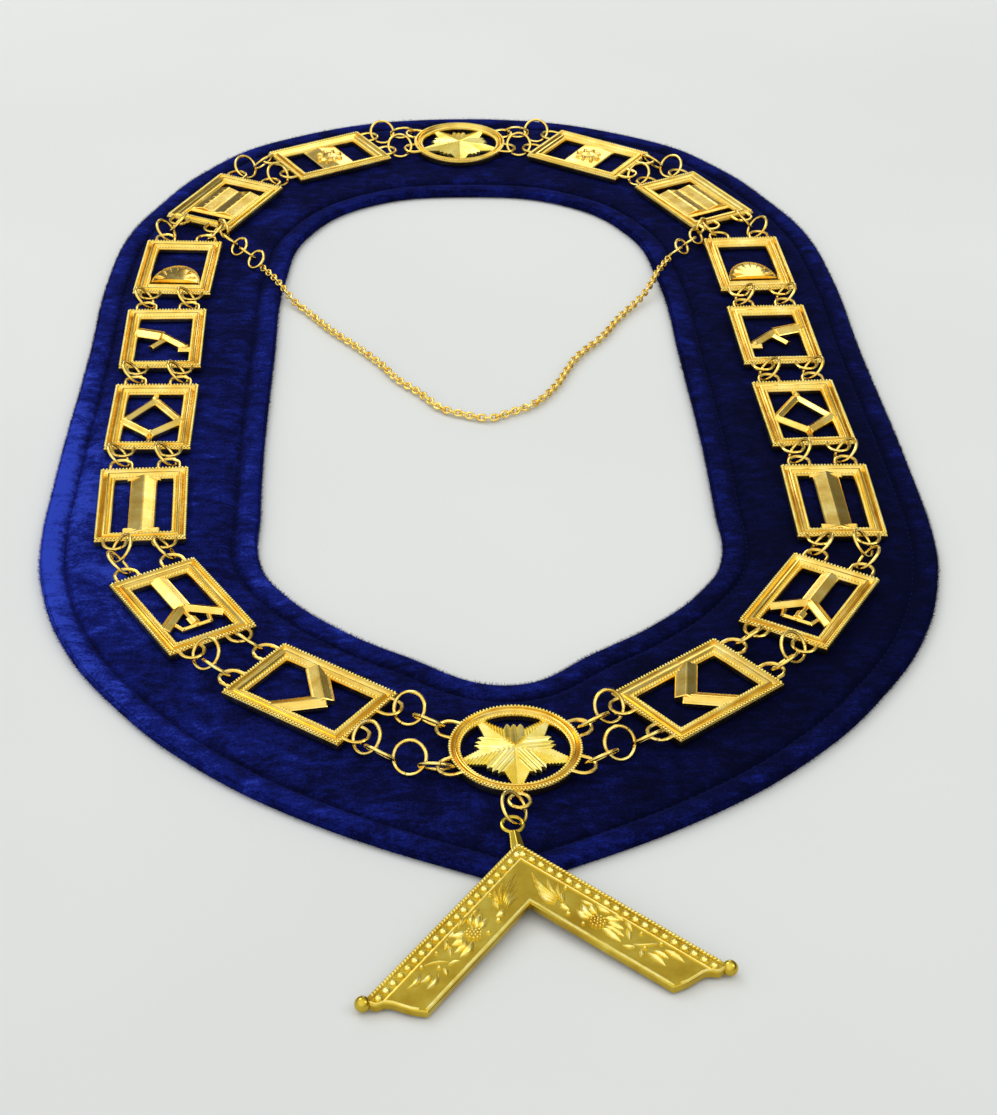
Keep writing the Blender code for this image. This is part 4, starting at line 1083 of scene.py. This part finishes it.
def buildJewel():
    sizes = jewelSizes
    half = math.radians(sizes["angle"] / 2)
    place = jewelPlace()
    innerCorner = Vector((0, -sizes["width"] / math.sin(half), 0))
    outline = [Vector((0, 0, 0))] + armPoints(1) + [innerCorner] + armPoints(-1)[::-1]
    bm = bmesh.new()
    rows = addLoops(bm, [[p + upBy(z) for p in insetPoints(outline, inset)] for inset, z in jewelProfile])
    bmesh.ops.triangulate(bm, faces=[bm.faces.new(rows[0]), bm.faces.new(rows[-1])])
    relief = bmesh.new()
    lines = {"rope": Lines(), "pearl": Lines()}
    field = jewelProfile[-1][1]
    low = field - 0.1
    fillet = ((0.0, low), (0.05, field + 0.30), (0.25, field + 0.42), (0.45, field + 0.30), (0.5, low))
    innerEdge = ((0.0, low), (0.04, field + 0.28), (0.3, field + 0.38), (0.62, field + 0.28), (0.7, low))
    outerEdge = ((0.0, field - 0.2), (0.0, field + 0.16), (0.9, field + 0.16), (1.0, field - 0.2))
    endLine = insetPoints(outline, sizes["endInset"])
    for side in (-1, 1):
        along, inward = armEdge(side)
        addStrip(relief, side, sizes["filletEnd"], sizes["fillet"], fillet)
        addStrip(relief, side, sizes["innerEnd"], sizes["innerEdge"], innerEdge)
        addStrip(bm, side, sizes["outerEnd"], sizes["outerEdge"], outerEdge)
        # a wire along the curved end of the arm, between its two corners
        chosen = endLine[2:12] if side == 1 else endLine[15:25]
        addTube(relief, [p + upBy(field + 0.05) for p in chosen], sizes["endWire"] / 2, 7)
        for key, off, rise, trim in (("rope", 0.62, 0.22, 0.44), ("pearl", 2.32, 0.15, 1.04)):
            ends = off / math.tan(half) + trim, sizes["arm"] * sizes["filletEnd"]
            lines[key].add([place @ (along * end + inward * off + upBy(field + rise)) for end in ends])
        addFlowers(relief, along, inward, upBy(field - sizes["rootDepth"]))
        corner = Matrix.Translation(along * sizes["arm"] + upBy(sizes["thick"] / 2))
        ball = bmesh.ops.create_uvsphere(
            bm, u_segments=20, v_segments=12, radius=sizes["ball"] / 2, matrix=corner,
        )
        for face in {face for vert in ball["verts"] for face in vert.link_faces}:
            face.smooth = True
    bow = (sizes["bailOuter"] - sizes["bailWire"]) / 2
    addRing(bm, Vector((0, sizes["bailDistance"], sizes["thick"] / 2)), bow, sizes["bailWire"])
    neck = Vector((0, -sizes["neckFoot"], 0.1)), Vector((0, sizes["bailDistance"] - bow, 0.1))
    addBar(bm, *neck, sizes["neckWidth"], sizes["neckHeight"], endWidth=sizes["neckTopWidth"])
    bm.transform(place)
    finishPiece("squareJewel", bm, jewelGilt, 34, ["square_jewel"])
    relief.transform(place)
    finishPiece("jewelRelief", relief, highlightGilt, 50)
    for name, key, facets, slant in (("jewelRope", "rope", 8, 0.9), ("jewelPearls", "pearl", 12, 0.0)):
        pitch, size = sizes[key + "Pitch"], sizes[key + "Size"]
        growRow(name, lines[key], pitch, size, highlightGilt, facets=facets, slant=slant)


buildJewel()
print("square jewel done")


# table, lights and camera
# the room is lightest overhead and towards the front left, and darkest low down at the back
stageLook = {
    "floor": "DADCDA", "shade": "D5D8D6", "skyTowards": (-0.25, -0.42, 0.86), "skyStrength": 1.25,
    "sky": ((0.0, "606060"), (0.25, "B8B8B8"), (0.55, "D2D2D2"), (0.85, "FFFFFF")),
}


def buildStage():
    mesh = bpy.data.meshes.new("paleTable")
    mesh.from_pydata([(x, y, -0.0002) for x, y in ((-4, -4), (4, -4), (4, 4), (-4, 4))], [], [(0, 1, 2, 3)])
    # smooth woven cloth, pale grey and matt
    made, tree, shader, place = newMaterial("paleTableCloth")
    cloud = addNode(tree, "ShaderNodeTexNoise", {"Vector": place, "Scale": 6.0, "Detail": 2.0})
    ramp = addNode(tree, "ShaderNodeValToRGB", {"Fac": cloud.outputs["Fac"]})
    setRamp(ramp, ((0.3, stageLook["shade"]), (0.7, stageLook["floor"])))
    setInputs(tree, shader, {"Base Color": ramp.outputs["Color"], "Roughness": 0.9})
    mesh.materials.append(made)
    addObject("paleTable", mesh)
    world = bpy.data.worlds.new("softRoom")
    bpy.context.scene.world = world
    world.use_nodes = True
    tree = world.node_tree
    way = addNode(tree, "ShaderNodeTexCoord").outputs["Generated"]
    facing = addNode(tree, "ShaderNodeVectorMath", {
        0: way, 1: stageLook["skyTowards"],
    }, operation="DOT_PRODUCT")
    ramp = addNode(tree, "ShaderNodeValToRGB", {"Fac": facing.outputs["Value"]})
    setRamp(ramp, stageLook["sky"])
    setInputs(tree, tree.nodes["Background"], {
        "Color": ramp.outputs["Color"], "Strength": stageLook["skyStrength"],
    })
    bpy.context.scene.view_settings.view_transform = "Standard"


# name, place in metres, size, power and colour
lightTable = (
    ("keySoftbox", (-0.55, 0.55, 0.95), 0.55, 2.4, "FFFFFF"),
    ("fillSoftbox", (0.75, -0.35, 0.85), 0.5, 1.4, "FFFCF6"),
    ("backSoftbox", (0.15, 1.35, 0.55), 0.5, 1.6, "FFFFFF"),
)


def buildLights():
    for name, place, size, power, colour in lightTable:
        lamp = bpy.data.lights.new(name, "AREA")
        lamp.shape = "SQUARE"
        lamp.size = size
        lamp.energy = power
        lamp.color = linear(colour)[:3]
        thing = addObject(name, lamp)
        thing.location = place
        thing.rotation_euler = (-Vector(place)).to_track_quat("-Z", "Y").to_euler()


# place in mm, angles in degrees, and lens in mm
cameraPlace = {"spot": (-27.6, -624.0, 385.0), "heading": 3.0, "pitch": 34.2, "roll": 1.03, "focal": 77.49}


def buildCamera():
    heading, pitch, roll = (math.radians(cameraPlace[key]) for key in ("heading", "pitch", "roll"))
    level = Vector((math.sin(heading), math.cos(heading), 0))
    ahead = level * math.cos(pitch) - upBy(math.sin(pitch))
    right = Vector((math.cos(heading), -math.sin(heading), 0))
    up = right.cross(ahead)
    turnedRight = right * math.cos(roll) + up * math.sin(roll)
    turnedUp = up * math.cos(roll) - right * math.sin(roll)
    data = bpy.data.cameras.new("photoCamera")
    data.lens = cameraPlace["focal"]
    data.sensor_width = 36.0
    data.clip_start = 0.01
    camera = addObject("photoCamera", data)
    turned = Matrix((turnedRight, turnedUp, -ahead)).transposed().to_4x4()
    camera.matrix_world = Matrix.Translation(Vector(cameraPlace["spot"]) * mm) @ turned
    bpy.context.scene.camera = camera


buildStage()
buildLights()
buildCamera()
print("stage done")
